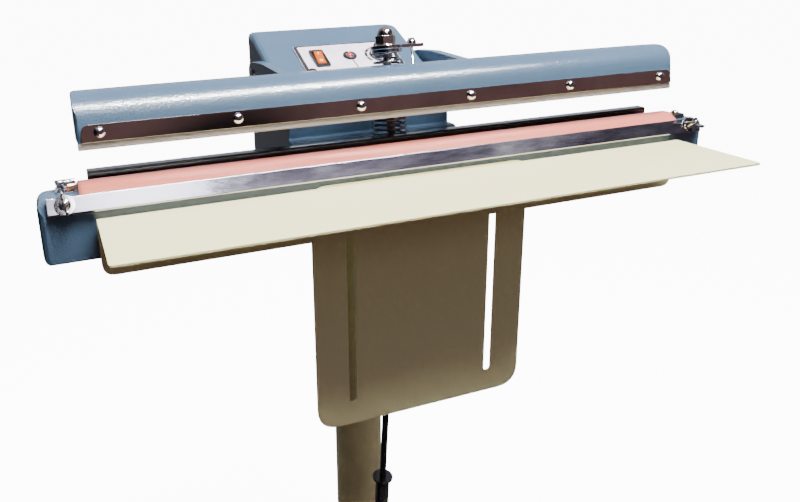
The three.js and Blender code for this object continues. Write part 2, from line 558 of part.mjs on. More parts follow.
function addPullRod() {
  const cosine = Math.cos(OPEN_ANGLE);
  const sine = Math.sin(OPEN_ANGLE);
  const behind = ROD_Y - HINGE_Y;
  const below = ROD_PIN_Z - HINGE_Z;
  const topY = HINGE_Y + behind * cosine + below * sine;
  const topZ = HINGE_Z - behind * sine + below * cosine;
  const dropY = LINK_FOOT_Y - topY;
  const dropZ = topZ + SEAL_HEIGHT - LINK_FOOT_H;
  const length = Math.hypot(dropY, dropZ);
  const link = new THREE.Group();
  link.position.set(0, topY, topZ);
  link.rotation.x = Math.atan2(dropY, dropZ);
  head.add(link);

  const ears = SIDES.map(([, sign]) => {
    const [from, to] = [sign * 4.5, sign * 8].sort((a, b) => a - b);
    return slab(rectangle(-8, -26, 8, 8, 6), 'x', from, to, 3);
  });
  const yoke = block(-8, 8, -8, 8, -34, -22);
  const pin = bar(3, [-10, 0, 0], [10, 0, 0], 14);
  const shaft = bar(4, [0, 0, 18 - length], [0, 0, -30], 14);
  const eye = slab(rectangle(-11, -12, 11, 26, 10), 'x', -4, 4, 4).translate(0, 0, -length);
  const slot = slab(rectangle(-6.2, -5.4, 6.2, 13.5, 4.6), 'x', -8, 8, 4).translate(0, 0, -length);
  place(link, 'pull_rod', cut(fuse(shaft, yoke, ...ears, pin, eye), slot), blackPaint);

  const collarTop = -375;
  const profile = [
    [4.4, 0], [12.5, 0], [12.5, -3], [8.5, -3.5], [8.5, -46], [6.5, -48], [4.4, -48], [4.4, 0],
  ].reverse();
  place(link, 'rod_adjuster', turned(profile, [0, 0, collarTop], Z_AXIS, 20), blackPaint);
}

// ---------------------------------------------------------------- foot pedal
function addPedal() {
  const pedal = new THREE.Group();
  const pinBack = PEDAL_PIVOT_Y - LINK_FOOT_Y;
  const pinRise = LINK_FOOT_H - PEDAL_PIVOT_H;
  pedal.position.set(0, PEDAL_PIVOT_Y, PEDAL_PIVOT_H);
  pedal.rotation.x = -Math.atan2(pinRise, pinBack);
  stand.add(pedal);
  const pinY = -Math.hypot(pinBack, pinRise);
  for (const [side, sign] of SIDES) {
    const arm = slab(outline([
      [-PEDAL_REACH + 6, -10, 3], [14, -10, 9], [14, 10, 9], [-PEDAL_REACH + 6, 10, 3],
    ]), 'x', sign * PEDAL_ARM_X - 2.5, sign * PEDAL_ARM_X + 2.5, 4);
    const pivotHole = bar(5.3, [sign * 30, 0, 0], [sign * 50, 0, 0], 16);
    const pinHole = bar(4.2, [sign * 30, pinY, 0], [sign * 50, pinY, 0], 14);
    place(pedal, `pedal_arm_${side}`, cut(arm, pivotHole, pinHole), blackPaint);
  }
  place(pedal, 'link_pin', bar(4, [-45, pinY, 0], [45, pinY, 0], 14), steel);
  const plate = slab(outline([
    [-62, -PEDAL_REACH, 12], [62, -PEDAL_REACH, 12], [62, -PEDAL_REACH + 96, 8], [-62, -PEDAL_REACH + 96, 8],
  ]), 'z', 10 + GAP, 13.5, 4);
  place(pedal, 'foot_plate', plate, blackPaint);
}

function addPedalBracket() {
  const foot = LEG_TOP + GAP;
  const floor = block(-52, 52, PEDAL_PIVOT_Y - 18, PEDAL_PIVOT_Y + 16, foot, foot + 4);
  const ears = SIDES.map(([, sign]) => {
    const [from, to] = [sign * 46, sign * 50].sort((a, b) => a - b);
    return slab(outline([
      [PEDAL_PIVOT_Y - 17, foot], [PEDAL_PIVOT_Y + 15, foot],
      [PEDAL_PIVOT_Y + 12, PEDAL_PIVOT_H + 12, 10], [PEDAL_PIVOT_Y - 14, PEDAL_PIVOT_H + 12, 10],
    ]), 'x', from, to, 4);
  });
  const hole = bar(5.3, [-60, PEDAL_PIVOT_Y, PEDAL_PIVOT_H], [60, PEDAL_PIVOT_Y, PEDAL_PIVOT_H], 16);
  place(stand, 'pedal_bracket', cut(fuse(floor, ...ears), hole), blackPaint);
  const pin = turned([[0, -56], [8, -56], [8, -51], [5, -51], [5, 56], [0, 56]],
    [0, PEDAL_PIVOT_Y, PEDAL_PIVOT_H], X_AXIS, 16);
  place(stand, 'pedal_pivot_pin', pin, steel);
}

// ---------------------------------------------------------------- work table
function addTable() {
  const back = TABLE_BACK;
  const under = TABLE_TOP - TABLE_THICK;
  const section = outline([
    [TABLE_FRONT, under], [back - TABLE_THICK, under, 6], [back - TABLE_THICK, FLANGE_BOTTOM],
    [back, FLANGE_BOTTOM], [back, TABLE_TOP, 8], [TABLE_FRONT, TABLE_TOP],
  ]);
  const sheet = slab(section, 'x', -TABLE_HALF, TABLE_HALF, 5);
  const plan = slab(outline([
    [-TABLE_HALF, TABLE_FRONT, 3.5], [TABLE_HALF, TABLE_FRONT, 3.5], [TABLE_HALF, 0], [-TABLE_HALF, 0],
  ]), 'z', -200, 0);
  const front = slab(outline([
    [-TABLE_HALF, FLANGE_BOTTOM, 11], [TABLE_HALF, FLANGE_BOTTOM, 11], [TABLE_HALF, 0], [-TABLE_HALF, 0],
  ]), 'y', -200, 0);
  const windows = SIDES.map(([, sign]) =>
    block(sign * SLOT_X - 9, sign * SLOT_X + 9, back - 12, back + 5, TABLE_BOLT_Z - 11, TABLE_BOLT_Z + 24));
  place(head, 'work_table', cut(common(sheet, plan, front), ...windows), cream);

  const plate = slab(outline([
    [-PLATE_HALF, PLATE_BOTTOM, 24], [PLATE_HALF, PLATE_BOTTOM, 24],
    [PLATE_HALF, PLATE_TOP, 16], [-PLATE_HALF, PLATE_TOP, 16],
  ]), 'y', -16, -14, 6);
  const slots = SIDES.map(([, sign]) => slab(
    rectangle(sign * SLOT_X - SLOT_WIDTH / 2, -301, sign * SLOT_X + SLOT_WIDTH / 2, -74, 3.9), 'y', -20, -10, 4));
  place(head, 'slotted_plate', cut(plate, ...slots), cream);

  for (const [side, sign] of SIDES) {
    const profile = [[0, 0], [7.4, 0], [7.4, 4], [6.2, 5], [0, 5]];
    const screw = turned([[0, -12], [3.1, -12], [3.1, 0.2], ...profile.slice(1)],
      [sign * SLOT_X, -16.3, TABLE_BOLT_Z], Y_AXIS.clone().negate(), 12);
    place(head, `table_bolt_${side}`, screw, steel);
  }
}

// ---------------------------------------------------------------- controls and what is inside
function addControls() {
  const SWITCH_X = -32.5;
  const LAMP_X = 5.6;
  const KNOB_X = 44;
  const sheet = slab(rectangle(-56, -35, 66, 29, 4), 'z', GAP, 1.5, 3);
  const switchHole = block(SWITCH_X - 6.8, SWITCH_X + 6.8, -16.8, 12.8, -3, 5);
  const lampHole = bar(6.3, [LAMP_X, 0, -3], [LAMP_X, 0, 5], 16);
  const knobHole = bar(4.3, [KNOB_X, -3, -3], [KNOB_X, -3, 5], 14);
  place(panel, 'label_plate', cut(sheet, switchHole, lampHole, knobHole), labelWhite);

  const bezel = slab(rectangle(SWITCH_X - 8.5, -19, SWITCH_X + 8.5, 15, 2), 'z', 1.8, 4, 3);
  const body = block(SWITCH_X - 6.5, SWITCH_X + 6.5, -16.5, 12.5, -20, 2);
  const well = block(SWITCH_X - 5.6, SWITCH_X + 5.6, -14.6, 10.6, -8, 6);
  place(panel, 'switch_body', cut(fuse(bezel, body), well), blackPaint);
  const rocker = slab(outline([
    [-11.6, 3.4, 1], [-9, -2, 3], [0, -4, 4], [9, -2, 3], [10.6, 6.8, 1], [1.5, 4.6, 6],
  ]), 'x', -5.2, 5.2, 3);
  const rockerMesh = place(panel, 'power_rocker', rocker, orange);
  rockerMesh.position.set(SWITCH_X, -2, 0);

  const lamp = turned([
    [0, -20], [5, -20], [5, -6], [5.9, -6], [5.9, 1.8], [8.4, 1.8], [8.4, 3.6], [6, 4.4], [5.6, 5.4], [0, 6.4],
  ], [LAMP_X, 0, 0], Z_AXIS, 18);
  place(panel, 'pilot_lamp', lamp, redGlass);

  const knob = turned([
    [0, -5], [3.2, -5], [3.2, 2], [14, 2], [14, 5], [11.5, 6], [10.5, 15], [9.5, 16], [0, 16],
  ], [KNOB_X, -3, 0], Z_AXIS, 22);
  const pointer = block(KNOB_X - 0.8, KNOB_X + 0.8, -3, 9, 14, 16.8);
  place(panel, 'timer_knob', fuse(knob, pointer), blackPaint);
  place(panel, 'timer_module', block(KNOB_X - 15, KNOB_X + 13, -18, 12, -26, -6), board);

  const core = block(-36, 36, 130, 196, -100, -44);
  const winding = slab(rectangle(-27, -90, 27, -54, 8), 'y', 120, 206, 3);
  place(head, 'transformer', fuse(core, winding), copper);

  const gland = turned([
    [0, -8], [8, -8], [8, 0.4], [12, 0.4], [12, 5], [9, 8], [8, 14], [0, 14],
  ], [-50, HOUSING_BACK, -75], Y_AXIS, 16);
  const bore = bar(4.5, [-50, HOUSING_BACK - 20, -75], [-50, HOUSING_BACK + 20, -75], 12);
  place(head, 'cord_gland', cut(gland, bore), blackPaint);
}

addBase();
addColumn();
addPedalBracket();
addPedal();
addSealBeam();
addHousing();
addHousingFloor();
addLowerSeal();
addWingNuts();
addJaw();
addJawFront();
addJawArms();
addMicroswitch();
addUpperRod();
addPullRod();
addTable();
addControls();

export default sealer;
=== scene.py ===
import math
import bmesh
import bpy
from mathutils import Matrix, Vector, noise


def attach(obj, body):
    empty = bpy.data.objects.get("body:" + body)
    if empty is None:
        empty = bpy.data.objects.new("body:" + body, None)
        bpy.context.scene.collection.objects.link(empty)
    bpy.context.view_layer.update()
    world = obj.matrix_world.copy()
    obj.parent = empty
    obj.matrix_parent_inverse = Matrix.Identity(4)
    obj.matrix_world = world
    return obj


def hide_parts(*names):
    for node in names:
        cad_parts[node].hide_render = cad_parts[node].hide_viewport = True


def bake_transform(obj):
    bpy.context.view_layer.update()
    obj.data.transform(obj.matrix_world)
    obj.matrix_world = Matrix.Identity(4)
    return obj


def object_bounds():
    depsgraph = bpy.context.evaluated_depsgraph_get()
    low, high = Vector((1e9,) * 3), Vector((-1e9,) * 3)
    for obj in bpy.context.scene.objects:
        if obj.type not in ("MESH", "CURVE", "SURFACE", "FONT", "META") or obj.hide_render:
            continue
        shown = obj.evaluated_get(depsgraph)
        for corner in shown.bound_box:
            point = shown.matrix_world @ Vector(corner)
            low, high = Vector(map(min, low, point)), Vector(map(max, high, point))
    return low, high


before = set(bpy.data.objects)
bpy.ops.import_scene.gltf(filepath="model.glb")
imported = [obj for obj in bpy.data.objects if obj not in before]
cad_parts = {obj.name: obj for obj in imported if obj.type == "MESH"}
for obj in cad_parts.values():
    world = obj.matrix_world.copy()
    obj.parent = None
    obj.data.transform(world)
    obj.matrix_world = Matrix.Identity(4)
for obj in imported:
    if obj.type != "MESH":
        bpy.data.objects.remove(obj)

cad_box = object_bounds()
MM = 0.001

# Driving dimensions in millimetres, the same as the CAD's. Head parts are written in the head's own frame:
# Y from the front of the jaw's strip and Z from the line of its screws, both with the jaw open.
SEAL_HEIGHT = 900  # floor to the jaw's screw line
HEAD_Y = -70
GAP = 0.3  # air left between pieces that rest on each other
HINGE_Y, HINGE_Z = 195, 5
OPEN = math.radians(8.2)  # how far the jaw rests open
JAW_FRONT, JAW_BOTTOM, JAW_TOP = 4, -35.8, 7
SCREW_PITCH, SCREW_COUNT, SCREW_RADIUS = 117, 6, 4.8
ROD_Y, ROD_PIN_Z = 67.8, -134.6
PLATE_Z, PLATE_THICK = 23, 3.6  # the contact plate's underside and thickness
ADJUSTER_X = 29  # adjusting screw over the microswitch
CLOTH_TOP, CLOTH_HALF = -42.3, 314.6
WING_NUT_X = 327
NECK_TOP = -61
HOUSING_BACK, HOUSING_BOTTOM, FLOOR_THICK = 270, -103, 6
PANEL_Y, PANEL_Z, PANEL_TILT = 185, 19.5, math.radians(24.34)
SWITCH_X, SWITCH_Y = -32.5, -2  # places on the panel
LAMP_X = 5.6
KNOB_X, KNOB_Y = 44, -3
TABLE_BACK, TABLE_BOLT_Z, SLOT_X = -16.3, -96, 78.4
COLUMN_Y, COLUMN_RADIUS, COLUMN_WALL = 164, 30.25, 3
LEG_TOP, FLANGE_THICK = 47, 6
PEDAL_PIVOT_Y, PEDAL_PIVOT_H, PEDAL_REACH = 225, 75, 377.6
LINK_FOOT_Y, LINK_FOOT_H = 118, 85  # lower end of the pull rod
SLEEVE_DROP = 375  # from the pull rod's upper pin down to its sleeve

# Frames of the parts: each turns millimetres in a part's own frame into metres in the object's frame.
SCALE = Matrix.Scale(MM, 4)
HEAD = Matrix.Translation((0, HEAD_Y * MM, SEAL_HEIGHT * MM)) @ SCALE
HINGE = Matrix.Translation((0, HINGE_Y, HINGE_Z))
JAW = HEAD @ HINGE @ Matrix.Rotation(-OPEN, 4, "X") @ HINGE.inverted()
PANEL = HEAD @ Matrix.Translation((0, PANEL_Y, PANEL_Z)) @ Matrix.Rotation(PANEL_TILT, 4, "X")
STAND = Matrix.Translation((0, HEAD_Y * MM, 0)) @ SCALE

# Stands an outline drawn in X and Z upright, its extrusion along Y.
UPRIGHT = Matrix(((1, 0, 0, 0), (0, 0, 1, 0), (0, 1, 0, 0), (0, 0, 0, 1)))


def at(x, y, z):
    return Matrix.Translation((x, y, z))


def facing(axis):
    """Turns local Z towards an axis."""
    return Vector(axis).to_track_quat("Z", "Y").to_matrix().to_4x4()


# ---------------------------------------------------------------- camera
def add_camera():
    """Looks from in front of the left end, a little above the jaw, with the frame shifted off centre."""
    yaw, pitch, roll = math.radians(20.727), math.radians(17.76), math.radians(1.445)
    forward = Vector((math.sin(yaw) * math.cos(pitch), math.cos(yaw) * math.cos(pitch), -math.sin(pitch)))
    level = Vector((math.cos(yaw), -math.sin(yaw), 0))
    down = forward.cross(level)
    right = level * math.cos(roll) + down * math.sin(roll)
    up = level * math.sin(roll) - down * math.cos(roll)
    data = bpy.data.cameras.new("camera")
    data.sensor_width = 36
    data.lens = 34.08
    data.shift_x, data.shift_y = 0.08125, -0.07
    data.clip_start, data.clip_end = 0.02, 200
    camera = bpy.data.objects.new("camera", data)
    bpy.context.scene.collection.objects.link(camera)
    place, turn = (-0.3286, -0.7088, 1.0360), Matrix((right, up, -forward)).transposed()
    camera.matrix_world = Matrix.Translation(place) @ turn.to_4x4()
    bpy.context.scene.camera = camera


add_camera()


# ---------------------------------------------------------------- materials
class Tree:
    """The nodes of a material or of the world, with helpers for layered noise."""

    def __init__(self, tree, space):
        self.nodes, self.links = tree.nodes, tree.links
        self.coords = self.nodes.new("ShaderNodeTexCoord").outputs[space]

    def link(self, source, target):
        self.links.new(source, target)

    def noise(self, scale, detail=3.0, rough=0.5, coords=None):
        node = self.nodes.new("ShaderNodeTexNoise")
        node.inputs["Scale"].default_value = scale
        node.inputs["Detail"].default_value = detail
        node.inputs["Roughness"].default_value = rough
        self.link(coords or self.coords, node.inputs["Vector"])
        return node.outputs["Fac"]

    def ramp(self, value, stops):
        """Colours a value by (place, colour) stops."""
        node = self.nodes.new("ShaderNodeValToRGB")
        elements = node.color_ramp.elements
        elements[0].position, elements[0].color = stops[0][0], (*stops[0][1], 1)
        elements[1].position, elements[1].color = stops[-1][0], (*stops[-1][1], 1)
        for place, colour in stops[1:-1]:
            elements.new(place).color = (*colour, 1)
        self.link(value, node.inputs["Fac"])
        return node.outputs["Color"]

    def span(self, value, low, high, start=0.3, end=0.7):
        """Carries the range from start to end over to the one from low to high."""
        node = self.nodes.new("ShaderNodeMapRange")
        node.inputs["From Min"].default_value = start
        node.inputs["From Max"].default_value = end
        node.inputs["To Min"].default_value = low
        node.inputs["To Max"].default_value = high
        self.link(value, node.inputs["Value"])
        return node.outputs["Result"]

    def mixed(self, factor, a, b, blend="MIX"):
        """Blends two colours. The factor is a number or a node's output."""
        node = self.nodes.new("ShaderNodeMix")
        node.data_type = "RGBA"
        node.blend_type = blend
        if isinstance(factor, (int, float)):
            node.inputs[0].default_value = factor
        else:
            self.link(factor, node.inputs[0])
        self.link(a, node.inputs[6])
        self.link(b, node.inputs[7])
        return node.outputs[2]


class Finish(Tree):
    """A material on object coordinates, with its shader."""

    def __init__(self, name, rough, metal=0.0, **sockets):
        self.material = bpy.data.materials.new(name)
        self.material.use_nodes = True
        super().__init__(self.material.node_tree, "Object")
        self.shader = self.nodes["Principled BSDF"]
        self.shader.inputs["Roughness"].default_value = rough
        self.shader.inputs["Metallic"].default_value = metal
        for socket, value in sockets.items():
            self.shader.inputs[socket.replace("_", " ")].default_value = value
        self.normal = None

    def stretched(self, x, y, z):
        """Scaled coordinates: a pattern runs along the axis with the smallest scale."""
        mapping = self.nodes.new("ShaderNodeMapping")
        mapping.inputs["Scale"].default_value = (x, y, z)
        self.link(self.coords, mapping.inputs["Vector"])
        return mapping.outputs["Vector"]

    def cells(self, scale, feature="F1"):
        node = self.nodes.new("ShaderNodeTexVoronoi")
        node.feature = feature
        node.inputs["Scale"].default_value = scale
        self.link(self.coords, node.inputs["Vector"])
        return node.outputs["Distance"]

    def colour(self, output):
        self.link(output, self.shader.inputs["Base Color"])

    def roughness(self, output):
        self.link(output, self.shader.inputs["Roughness"])

    def bump(self, output, strength, distance):
        """Adds relief on top of what the material already has."""
        node = self.nodes.new("ShaderNodeBump")
        node.inputs["Strength"].default_value = strength
        node.inputs["Distance"].default_value = distance
        self.link(output, node.inputs["Height"])
        if self.normal:
            self.link(self.normal, node.inputs["Normal"])
        self.normal = node.outputs["Normal"]
        self.link(self.normal, self.shader.inputs["Normal"])


def shade(colour, factor):
    """A colour made darker or lighter."""
    return tuple(min(1.0, channel * factor) for channel in colour)


def hammertone():
    """Glossy blue paint with a fine dimpled grain."""
    f = Finish("hammertone", 0.3, Specular_IOR_Level=0.8)
    base = (0.07, 0.122, 0.197)
    cloudy = f.ramp(f.noise(9, 4), [(0.35, shade(base, 0.93)), (0.65, shade(base, 1.06))])
    grain = f.ramp(f.cells(900), [(0.1, (0.92, 0.94, 0.95)), (0.6, (1.04, 1.03, 1.02))])
    f.colour(f.mixed(0.3, cloudy, grain, "MULTIPLY"))
    f.roughness(f.span(f.cells(760), 0.06, 0.26, 0.2, 0.5))
    f.bump(f.cells(640, feature="SMOOTH_F1"), 0.3, 0.0006)
    f.bump(f.noise(1100, 2), 0.15, 0.0003)
    return f.material


def enamel(name, base, rough, coat=0.15, dust=0.06):
    """Smooth paint with a little dust on it and a few dark specks."""
    f = Finish(name, rough, Coat_Weight=coat, Coat_Roughness=0.08)
    cloudy = f.ramp(f.noise(6, 4), [(0.3, shade(base, 1 - dust)), (0.7, shade(base, 1 + dust / 2))])
    specks = f.ramp(f.noise(700, 2, 0.7), [(0.24, shade(base, 0.45)), (0.3, shade(base, 1.0))])
    f.colour(f.mixed(0.18, cloudy, specks))
    f.roughness(f.span(f.noise(90, 2), rough * 0.95, rough * 1.05))
    f.bump(f.noise(260, 2), 0.04, 0.0006)
    return f.material


def metal(name, base, rough, brushed=None, scratch=0.12):
    """Bare or plated metal. A brushed one has its fine scratches stretched by a scale for each axis."""
    f = Finish(name, rough, 1.0)
    f.colour(f.ramp(f.noise(30, 4), [(0.3, shade(base, 0.88)), (0.7, shade(base, 1.05))]))
    coords = f.stretched(*brushed) if brushed else None
    lines = f.noise(420 if brushed else 160, 4, 0.65, coords)
    f.roughness(f.span(lines, rough * 0.65, rough * 1.35))
    f.bump(lines, scratch, 0.0001)
    return f.material


def polished_bar():
    """Aluminium polished along its length, with smears and slight waves."""
    f = Finish("polished_aluminium", 0.12, 1.0)
    smears = f.noise(26, 5, 0.6, f.stretched(0.35, 1, 1))
    tones = [(0.3, (0.3, 0.3, 0.37)), (0.55, (0.45, 0.45, 0.52)), (0.75, (0.6, 0.6, 0.65))]
    f.colour(f.ramp(smears, tones))
    f.roughness(f.span(smears, 0.1, 0.26))
    f.bump(f.noise(55, 4, 0.6, f.stretched(0.3, 1, 1)), 0.35, 0.0008)
    f.bump(f.noise(500, 3, 0.7, f.stretched(0.04, 1, 1)), 0.06, 0.0002)
    return f.material


def cloth_finish():
    """Woven cloth with fine threads, worn along its length."""
    f = Finish("ptfe_cloth", 0.4, Sheen_Weight=0.15, Coat_Weight=0.15, Coat_Roughness=0.3)
    base = (0.64, 0.158, 0.108)
    wear = f.noise(14, 4, 0.6, f.stretched(0.2, 1, 1))
    tone = f.ramp(wear, [(0.3, shade(base, 0.9)), (0.7, shade(base, 1.06))])
    threads = f.noise(1500, 1, 0.5, f.stretched(1, 0.08, 0.08))
    warp = f.ramp(threads, [(0.3, (0.9, 0.9, 0.9)), (0.7, (1.05, 1.05, 1.05))])
    f.colour(f.mixed(0.5, tone, warp, "MULTIPLY"))
    f.roughness(f.span(f.noise(30, 3, 0.5, f.stretched(0.3, 1, 1)), 0.3, 0.5))
    f.bump(f.noise(1500, 1, 0.5, f.stretched(0.08, 1, 1)), 0.1, 0.0002)
    f.bump(f.noise(60, 3, 0.5, f.stretched(0.12, 1, 1)), 0.25, 0.0008)
    return f.material


def silicone_finish():
    """Grey rubber with fine lines along it."""
    f = Finish("silicone", 0.5, Sheen_Weight=0.1)
    base = (0.3, 0.265, 0.262)
    lines = f.noise(900, 3, 0.6, f.stretched(0.01, 1, 1))
    f.colour(f.ramp(lines, [(0.3, shade(base, 0.82)), (0.7, shade(base, 1.12))]))
    f.roughness(f.span(f.noise(120, 3), 0.42, 0.6))
    f.bump(lines, 0.2, 0.0002)
    return f.material


def moulded(name, base, rough, grain, coat=0.0, gloss=0.5):
    """Plastic, rubber or film with a fine grain."""
    f = Finish(name, rough, Coat_Weight=coat, Coat_Roughness=0.1, Specular_IOR_Level=gloss)
    f.colour(f.ramp(f.noise(60, 4), [(0.3, shade(base, 0.85)), (0.7, shade(base, 1.15))]))
    f.roughness(f.span(f.noise(300, 3), rough * 0.8, rough * 1.2))
    f.bump(f.noise(1300, 2), grain, 0.0002)
    return f.material


def striped(name, base, gap, pitch, axis, rough, metallic):
    """Wound wire or stacked sheets: fine lines across one axis."""
    f = Finish(name, rough, metallic)
    wave = f.nodes.new("ShaderNodeTexWave")
    wave.bands_direction = axis
    wave.inputs["Scale"].default_value = math.pi / 10 / (pitch * MM)
    f.link(f.coords, wave.inputs["Vector"])
    f.colour(f.ramp(wave.outputs["Fac"], [(0.1, gap), (0.5, base)]))
    f.roughness(f.span(f.noise(200, 3), rough * 0.8, rough * 1.3))
    f.bump(wave.outputs["Fac"], 0.5, 0.0004)
    return f.material


PAINT = hammertone()
CREAM = enamel("cream_enamel", (0.98, 0.91, 0.5), 0.24, dust=0.02)
BLACK = enamel("black_enamel", (0.012, 0.012, 0.014), 0.2, coat=0.6)
CHROME = metal("chrome", (0.78, 0.76, 0.77), 0.06, scratch=0.03)
STRIP = metal("chrome_sheet", (0.66, 0.62, 0.62), 0.05, (0.05, 1, 1), 0.02)
STEEL = metal("bright_steel", (0.42, 0.41, 0.41), 0.22, scratch=0.1)
SPRING = metal("spring_steel", (0.30, 0.29, 0.30), 0.16, scratch=0.1)
ALUMINIUM = polished_bar()
CLOTH = cloth_finish()
SILICONE = silicone_finish()
RUBBER = moulded("black_rubber", (0.018, 0.018, 0.018), 0.75, 0.4)
PLASTIC = moulded("black_plastic", (0.012, 0.012, 0.013), 0.32, 0.15)
ORANGE = moulded("orange_plastic", (0.5, 0.1, 0.0), 0.5, 0.05, gloss=0.1)
LABEL = moulded("label_film", (0.97, 0.82, 1.0), 0.4, 0.05, 0.1)
INK = moulded("label_ink", (0.012, 0.01, 0.012), 0.6, 0.05)
WHITE = moulded("white_ink", (0.8, 0.8, 0.8), 0.4, 0.05)
LENS = moulded("red_lens", (0.55, 0.02, 0.02), 0.12, 0.02, 1.0)
BOARD = moulded("circuit_board", (0.02, 0.12, 0.04), 0.4, 0.2)
BRASS = metal("brass", (0.72, 0.53, 0.22), 0.2)
WINDING = striped("copper_winding", (0.45, 0.17, 0.06), (0.12, 0.04, 0.02), 1.1, "Y", 0.35, 1.0)
CORE = striped("core_sheets", (0.2, 0.2, 0.21), (0.05, 0.05, 0.05), 0.7, "X", 0.4, 0.6)


# ---------------------------------------------------------------- making pieces
def finish_mesh(name, bm, material, body, matrix=None, sharp=32, replaces=()):
    """Turns a bmesh into a piece: placed, shaded smooth up to an angle, painted and riding on its body."""
    if matrix is not None:
        bm.transform(matrix)
    bmesh.ops.recalc_face_normals(bm, faces=bm.faces)
    mesh = bpy.data.meshes.new(name)
    bm.to_mesh(mesh)
    bm.free()
    for polygon in mesh.polygons:
        polygon.use_smooth = True
    mesh.set_sharp_from_angle(angle=math.radians(sharp))
    mesh.materials.append(material)
    piece = bpy.data.objects.new(name, mesh)
    bpy.context.scene.collection.objects.link(piece)
    weighted = piece.modifiers.new("normals", "WEIGHTED_NORMAL")
    weighted.keep_sharp = True
    if replaces:
        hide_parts(*replaces)
    if body:
        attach(piece, body)
    return piece


def softened(bm, width, segments, angle=26):
    """Rounds the edges that turn by more than an angle in degrees."""
    edges = [e for e in bm.edges if e.is_manifold and e.calc_face_angle(0) > math.radians(angle)]
    bmesh.ops.bevel(bm, geom=edges, offset=width, segments=segments, profile=0.5, affect="EDGES",
                    clamp_overlap=True)


def refined(node, material, width, body, segments):
    """The node's own shape, its flat faces joined and its hard edges eased, as in folded or cast metal."""
    bm = bmesh.new()
    bm.from_mesh(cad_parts[node].data)
    bmesh.ops.remove_doubles(bm, verts=bm.verts, dist=2e-6)
    bmesh.ops.dissolve_limit(bm, angle_limit=math.radians(1.2), verts=bm.verts, edges=bm.edges)
    softened(bm, width * MM, segments)
    finish_mesh(f"{node}_finished", bm, material, body, replaces=(node,))


def lathe(profile, segments=48):
    """A turned form about local Z from (radius, height) points. Radius 0 closes an end."""
    bm = bmesh.new()
    rings = []
    for radius, height in profile:
        if radius < 1e-9:
            rings.append([bm.verts.new((0, 0, height))])
        else:
            angles = [2 * math.pi * i / segments for i in range(segments)]
            rings.append([bm.verts.new((radius * math.cos(a), radius * math.sin(a), height)) for a in angles])
    for low, high in zip(rings, rings[1:]):
        for i in range(segments):
            j = (i + 1) % segments
            corners = [low[i % len(low)], low[j % len(low)], high[j % len(high)], high[i % len(high)]]
            unique = list(dict.fromkeys(corners))
            if len(unique) > 2:
                bm.faces.new(unique)
    return bm


def rounded(points, usual):
    """A closed outline with arcs for corners. Points are (x, y), with the usual radius, or (x, y, radius)."""
    steps = 6
    out = []
    for i, point in enumerate(points):
        here = Vector(point[:2])
        radius = point[2] if len(point) > 2 else usual
        if radius <= 0:
            out.append(here)
            continue
        before, after = Vector(points[i - 1][:2]), Vector(points[(i + 1) % len(points)][:2])
        a, b = (before - here).normalized(), (after - here).normalized()
        half = a.angle(b) / 2
        reach = radius / math.tan(half)
        centre = here + (a + b).normalized() * radius / math.sin(half)
        start = here + a * reach - centre
        turn = start.angle_signed(here + b * reach - centre)
        for k in range(steps + 1):
            out.append(centre + Matrix.Rotation(-turn * k / steps, 2) @ start)
    return out


def rectangle(x0, y0, x1, y1, radius):
    return rounded([(x0, y0), (x1, y0), (x1, y1), (x0, y1)], radius)


def prism(outline, low, high, ease=0.0, segments=2):
    """An outline extruded along local Z, with its rims eased."""
    bm = bmesh.new()
    face = bm.faces.new([bm.verts.new((p[0], p[1], low)) for p in outline])
    top = bmesh.ops.extrude_face_region(bm, geom=[face])["geom"]
    raised = [v for v in top if isinstance(v, bmesh.types.BMVert)]
    bmesh.ops.translate(bm, verts=raised, vec=(0, 0, high - low))
    bmesh.ops.recalc_face_normals(bm, faces=bm.faces)
    if ease:
        rims = [e for e in bm.edges if abs(e.verts[0].co.z - e.verts[1].co.z) < 1e-9]
        bmesh.ops.bevel(bm, geom=rims, offset=ease, segments=segments, profile=0.5, affect="EDGES",
                        clamp_overlap=True)
    return bm


def box(x0, x1, y0, y1, z0, z1, ease, corner=0.0):
    return prism(rectangle(x0, y0, x1, y1, corner), z0, z1, ease)


def tube(points, radius, sides=16, closed=False):
    """A round wire along points."""
    bm = bmesh.new()
    count = len(points)
    rings = []
    normal = None
    for i, point in enumerate(points):
        ahead = points[(i + 1) % count] if closed or i < count - 1 else point
        behind = points[i - 1] if closed or i else point
        tangent = (ahead - behind).normalized()
        if normal is None:
            normal = tangent.orthogonal().normalized()
        normal = (normal - tangent * normal.dot(tangent)).normalized()
        side = tangent.cross(normal)
        angles = [2 * math.pi * k / sides for k in range(sides)]
        circle = [(normal * math.cos(a) + side * math.sin(a)) * radius for a in angles]
        rings.append([bm.verts.new(point + offset) for offset in circle])
    pairs = list(zip(rings, rings[1:])) + ([(rings[-1], rings[0])] if closed else [])
    for low, high in pairs:
        for k in range(sides):
            bm.faces.new((low[k], low[(k + 1) % sides], high[(k + 1) % sides], high[k]))
    if not closed:
        bm.faces.new(rings[0])
        bm.faces.new(rings[-1])
        ends = [e for e in bm.edges if len(e.link_faces) == 2 and e.calc_face_angle(0) > 1.2]
        bmesh.ops.bevel(bm, geom=ends, offset=radius * 0.3, segments=2, profile=0.5, affect="EDGES")
    return bm


def joined(parts):
    """Several bmeshes as one."""
    first, *others = parts
    for other in others:
        mesh = bpy.data.meshes.new("joined")
        other.to_mesh(mesh)
        other.free()
        first.from_mesh(mesh)
        bpy.data.meshes.remove(mesh)
    return first


